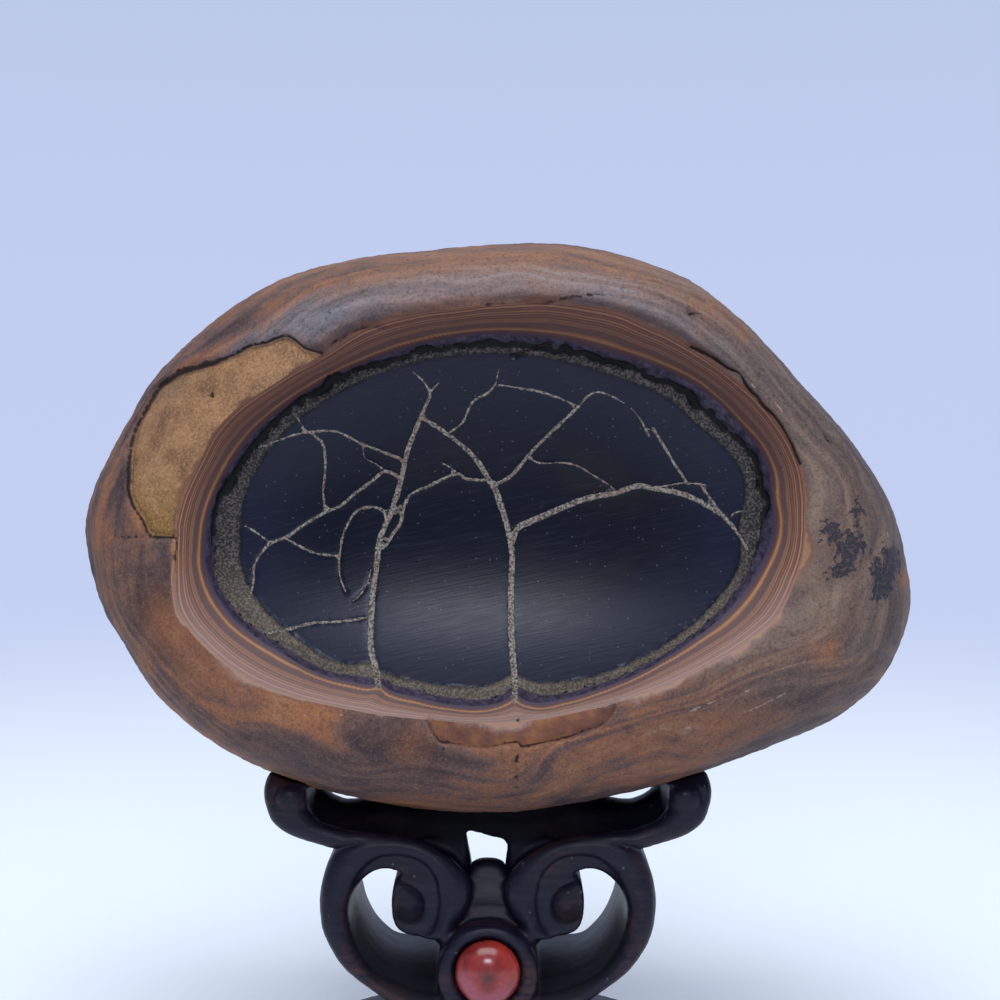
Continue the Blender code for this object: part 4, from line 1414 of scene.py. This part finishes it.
def relaxed(points, faces, rounds, share):
    """The points drawn towards the middle of their neighbours, a few times."""
    edges = np.vstack([faces[:, [n, (n + 1) % 4]] for n in range(4)])
    for _ in range(rounds):
        total = np.zeros_like(points)
        count = np.zeros(len(points))
        np.add.at(total, edges[:, 0], points[edges[:, 1]])
        np.add.at(count, edges[:, 0], 1)
        points = points + share * (total / count[:, None] - points)
    return points


def ring_floor():
    """The floor of the scroll's eye beside the boss, which climbs toward the back."""
    climb = EYE_FLOOR_CLIMB * smooth(Y, -20, 16) * (1 - smooth(X, 13, EYE_FLOOR_END_X))
    top = height_over(EYE_FLOOR) + climb
    ends = most(STAND_FRONT_Y + 2 - Y, Y - STAND_BACK_Y + 0.8)
    return most(Z - top, EYE_FLOOR_UNDER_Z - Z, X - EYE_FLOOR_END_X, ends)


def arm_saddle():
    """The hollow behind the arm's front edge, with a low ridge half way back."""
    start = -18 + 8.5 * (1 - smooth(X, 7, 18))
    swell = smooth(Y, start, -3.5) * (1 - smooth(Y, -1, 12))
    top = (Z - ARM_BACK_Z - (height_over(ARM_RIDGE) - ARM_BACK_Z) * swell) * 0.8
    first, last = ARM_BACK_X
    return most(top, height_over(RIDGE_UNDER) - Z, first - X, X - last, start + 1 - Y, Y - 13)


def stand_field():
    """The field of the half stand over x, y and z: less than nothing inside the wood."""
    scroll, eye = outline_depth(SCROLL), outline_depth(SCROLL_EYE)
    ring = np.minimum(scroll, -eye)
    face = STAND_FRONT_Y + carved_front(scroll, eye)
    wood = slab_field(ring, face, STAND_BACK_Y - crown(ring, 3.0, 1.2), 0.7)
    wood = soft_least(wood, ring_floor(), 0.8)
    top = height_over(ARM_TOP) - ARM_FALL * smooth(Y, STAND_FRONT_Y + 1.5, STAND_FRONT_Y + 9)
    wood = soft_most(wood, (Z - top) * 0.85, 1.4)
    web = slab_field(outline_depth(WEB), WEB_FRONT_Y, WEB_BACK_Y, 1.0)
    wood = soft_least(wood, soft_least(web, arm_saddle(), 2.0), 1.2)
    lean = POST_FRONT_Y - 0.3 * np.clip(41 - PLAN_Z, 0, 11)
    post = slab_field(outline_depth(POST), lean, POST_BACK_Y, 1.6)
    collar_depth = np.minimum(COLLAR_RADIUS - np.hypot(PLAN_X, PLAN_Z - BOSS_Z), PLAN_Z - COLLAR_LOW_Z)
    collar = slab_field(collar_depth, COLLAR_FRONT_Y, COLLAR_BACK_Y, 1.2)
    wood = soft_least(wood, soft_least(post, collar, 2.5), 0.5)
    foot_depth = outline_depth(FOOT)
    inset = 1 + crown(foot_depth, 3.2, 1.8)
    foot = slab_field(foot_depth, STAND_FRONT_Y + inset, STAND_BACK_Y - inset, 0.8)
    wood = soft_least(wood, foot, 0.8)
    boss, socket = boss_field()
    return most(soft_least(wood, boss, 0.35), -socket, -Z)


def middle_gap():
    """The gap between the arms over the whole grid, open behind the post, with a slanting top."""
    x = both_sides()[:, None, None]
    half, above = GAP_HALF_WIDTH + GAP_WIDENING * np.maximum(Y - WEB_FRONT_Y, 0), Z - GAP_MIDDLE_Z
    sides = soft_most(-x - half - GAP_LEFT_LEAN * above, x - half - GAP_RIGHT_LEAN * above, 1.2)
    gap = soft_most(sides, Z - GAP_TOP_Z + GAP_TOP_SLANT * (x - GAP_TOP_X), 1.4)
    behind = Y - POST_BACK_Y
    return most(gap, GAP_FLOOR_Z - GAP_FLOOR_FALL * behind - Z, 0.1 - behind)


def painted_shade_share(points, normals):
    """How much painted shade each point gets: behind the arms, or on the floor of the ring."""
    x, y, z = points.T
    behind = smooth(y, -19, -13) * smooth(z, 43, 46.5) * (1 - 0.8 * smooth(np.abs(x), 15, 29))
    behind = behind * smooth(-y, 0, 5)
    floor = smooth(normals[:, 2], 0.1, 0.4) * smooth(z, 16.5, 18) * (1 - smooth(z, 33, 38))
    floor = floor * smooth(np.abs(x), 8.8, 10) * (1 - smooth(np.abs(x), 26.3, 27.3))
    return np.maximum(behind, 0.75 * floor * (1 - smooth(y, -12, 14)))


def wood_material():
    """Black stained hardwood: reddish where the stain is thin, duller and with painted shade in the
    recesses.
    """
    paint = Paint("black_hardwood", Specular_IOR_Level=0.22)
    place = paint.place()
    grain = paint.noise(paint.scaled(place, (90, 700, 900)), 1, 3, 0.6, 0.3)
    pores = paint.noise(paint.scaled(place, (300, 2600, 2600)), 1, 1)
    soft = paint.noise(place, 70, 3)
    painted_recess_shade = paint.value("painted_recess_shade")
    colour = grain.ramp((0.3, (15, 13, 28)), (0.55, (21, 19, 36)), (0.75, (34, 29, 43)))
    tint = soft.rise(0.48, 0.66).times(grain.rise(0.35, 0.6))
    colour = colour.under(
        (tint.times(0.8), (58, 36, 36)),
        (paint.value("worn").times(0.4), (78, 74, 84)),
        (paint.cells(place, 330).rise(0.05, 0.1, 0.25, 0), (140, 140, 148)),
        # painted shade in the recesses behind the arms and on the ring's floor
        (painted_recess_shade.times(0.8), (5, 5, 11)),
    )
    paint.link(colour, "Base Color")
    roughness = painted_recess_shade.times(0.4, soft.times(0.2, 0.27))
    paint.link(pores.times(0.12, roughness), "Roughness")
    paint.link(paint.bump(pores.times(0.5, grain), 0.06, 0.5), "Normal")
    return paint.material


def stand(stone_piece):
    half = stand_field()
    whole = np.concatenate([half[:0:-1], half])
    underside = stone_underside(stone_piece)[:, :, None] - SEAT_GAP
    whole = most(whole, -middle_gap(), (Z - underside) * 0.9)
    low = np.array([-GRID_X[-1], GRID_Y[0], GRID_Z[0]])
    points, faces = surface_net(whole, low, np.array([STEP_X, STEP_Y, STEP_Z]))
    points = relaxed(points, faces, 2, 0.45)
    points[:, 2] = np.where(points[:, 2] < 0.35, 0, points[:, 2])
    normals = vertex_normals(points, np.vstack([faces[:, [0, 1, 2]], faces[:, [0, 2, 3]]]))
    bend = relaxed(points, faces, 6, 0.5) - points
    worn = smooth(-(bend * normals).sum(axis=1), 0.12, 0.35)
    points = points + normals * (0.05 * noise(points, 3, 61))[:, None] * (points[:, 2:] > 0.5)
    values = {"worn": worn, "painted_recess_shade": painted_shade_share(points, normals)}
    piece = mesh_object("stand_scrolls", points, faces, wood_material(), values)
    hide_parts("stand")
    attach(piece, "root")
    return piece


# --- cabochon -----------------------------------------------------------------------------------


def cabochon_material():
    paint = Paint("red_cabochon", Roughness=0.2, Subsurface_Weight=0.2, Subsurface_Scale=0.002)
    place = paint.place()
    cloud = paint.noise(place, 260, 3, 0.6, 0.8)
    colour = cloud.ramp(
        (0.3, (80, 18, 22)), (0.45, (114, 32, 33)), (0.6, (138, 46, 40)), (0.75, (152, 70, 64))
    ).under(
        (paint.noise(place, 1500, 1).rise(0.62, 0.76, 0, 0.5), (90, 28, 28)),
        (paint.value("speck"), (62, 24, 22)),
        (paint.value("bloom"), (150, 72, 88)),
        # painted light: a brighter orange-red at the upper right, where light passes through the stone
        (paint.value("painted_glow"), (170, 52, 38)),
    )
    paint.link(colour, "Base Color")
    paint.link(paint.bump(cloud, 0.05, 0.25), "Normal")
    return paint.material


def cabochon():
    """A low red dome on a short straight side, sunk in the boss."""
    base = SOCKET_FLOOR_Y - SEAT_GAP
    girdle = base - CABOCHON_SUNK
    profile = [
        (CABOCHON_RADIUS * math.sin(t), girdle - CABOCHON_RISE * math.cos(t))
        for t in np.linspace(0, math.pi / 2, 25)
    ]
    profile += [(CABOCHON_RADIUS, base), (CABOCHON_RADIUS * 0.5, base), (0, base)]
    points, faces = lathe(profile, closed=True)
    x, z = points[:, 0], points[:, 1]
    points = points[:, [0, 2, 1]] + (0, 0, CABOCHON_Z)
    away = np.hypot(x, z)
    bloom = smooth(away, 1.8, 3.8) * smooth(-z - 0.3 * x, -1.5, 3) * (1 - smooth(away, 4.6, 5.5))
    values = {
        "speck": bell(np.hypot(x + 0.1, z - 0.1), 1.3) * 0.85,
        "bloom": bloom * 0.8,
        # painted light at the upper right of the dome
        "painted_glow": smooth(x * 0.8 + z * 0.6, 2.6, 5) * 0.5,
    }
    piece = mesh_object("cabochon_red", points, faces, cabochon_material(), values)
    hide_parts("cabochon")
    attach(piece, "root")
    return piece


# --- studio -------------------------------------------------------------------------------------

SWEEP_RADIUS, SWEEP_BEND, SWEEP_Z, SWEEP_TOP_Z = 1600.0, 450.0, -0.3, 2300.0


def paper_material():
    """Pale paper: white round the object, bluer and softly glowing further off, dimmer in front."""
    paint = Paint("pale_paper", Roughness=0.9, Specular_IOR_Level=0.1)
    place = paint.place()
    parts = paint.add("SeparateXYZ", {}, (0, place)).outputs
    y, z = Amount(paint, parts["Y"]), Amount(paint, parts["Z"])
    away = paint.node("VectorMath", {"operation": "LENGTH"}, (0, place), output="Value")
    far = away.rise(0.2, 1.15)
    wall = z.rise(0.1, 0.8).mix((190, 201, 233), (180, 193, 222))
    paint.link(far.mix((238, 243, 248), (66, 70, 80)), "Base Color")
    paint.link(far.mix((134, 137, 139), wall), "Emission Color")
    paint.link(y.rise(-0.8, 1.0, 0.4, 1.0), "Emission Strength")
    paint.material.cycles.emission_sampling = "NONE"
    return paint.material


def studio():
    """A pale sweep that stands all round the object, with a round bend from floor to wall."""
    floor = SWEEP_RADIUS - SWEEP_BEND
    profile = [(0.0, SWEEP_Z), (600.0, SWEEP_Z), (floor, SWEEP_Z)]
    for turn in np.linspace(0, math.pi / 2, 13)[1:]:
        profile.append((floor + SWEEP_BEND * math.sin(turn), SWEEP_Z + SWEEP_BEND * (1 - math.cos(turn))))
    profile.append((SWEEP_RADIUS, SWEEP_TOP_Z))
    points, faces = lathe(profile, closed=False)
    sweep = mesh_object("sweep", points - SHIFT, faces, paper_material())


def area_light(name, place, aim, size, power, colour):
    light = bpy.data.lights.new(name, "AREA")
    light.shape = "RECTANGLE"
    light.size, light.size_y = size[0] * MM, size[1] * MM
    light.energy = power
    light.color = colour
    obj = bpy.data.objects.new(name, light)
    bpy.context.scene.collection.objects.link(obj)
    obj.location = Vector(place) * MM
    obj.rotation_mode = "QUATERNION"
    obj.rotation_quaternion = (Vector(aim) - Vector(place)).to_track_quat("-Z", "Y")
    return obj


def lights():
    area_light("key", (5, -900, 402), (0, 0, 95), (230, 100), 2.0, (0.82, 0.87, 1.0))
    area_light("overhead", (-30, -620, 1180), (0, 0, 60), (1100, 900), 14.6, (0.9, 0.95, 1.0))
    world = bpy.data.worlds.new("room")
    world.use_nodes = True
    world.node_tree.nodes["Background"].inputs["Color"].default_value = (0.8, 0.87, 1.0, 1)
    world.node_tree.nodes["Background"].inputs["Strength"].default_value = 0.2
    bpy.context.scene.world = world


def camera():
    data = bpy.data.cameras.new("camera")
    data.sensor_width = 36
    data.lens = 36 * FOCAL_PIXELS / 1000
    data.shift_y = (MIDDLE_PY - 500) / 1000
    data.clip_start, data.clip_end = 0.01, 20
    obj = bpy.data.objects.new("camera", data)
    bpy.context.scene.collection.objects.link(obj)
    place = np.array([CAMERA_X, -CAMERA_AWAY, CAMERA_Z]) + SHIFT
    obj.location = Vector(place) * MM
    obj.rotation_euler = (math.pi / 2, 0, 0)
    bpy.context.scene.camera = obj


# --- the scene ----------------------------------------------------------------------------------

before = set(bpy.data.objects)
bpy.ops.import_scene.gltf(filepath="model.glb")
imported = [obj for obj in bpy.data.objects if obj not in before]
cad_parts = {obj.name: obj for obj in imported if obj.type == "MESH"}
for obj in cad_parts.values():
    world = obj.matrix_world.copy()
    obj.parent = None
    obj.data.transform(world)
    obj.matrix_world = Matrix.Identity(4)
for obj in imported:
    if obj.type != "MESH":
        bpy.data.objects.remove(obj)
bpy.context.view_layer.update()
stand_low, stand_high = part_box("stand")
SHIFT = np.array([(stand_low.x + stand_high.x) / 2 / MM, stand_low.y / MM - BOSS_FRONT_Y, 0.0])

camera()
studio()
lights()
stone_piece = stone()
stand(stone_piece)
cabochon()

scene = bpy.context.scene
scene.view_settings.view_transform = "Standard"
scene.cycles.max_bounces = 4
scene.cycles.diffuse_bounces = 2
scene.cycles.glossy_bounces = 1
scene.cycles.use_light_tree = False
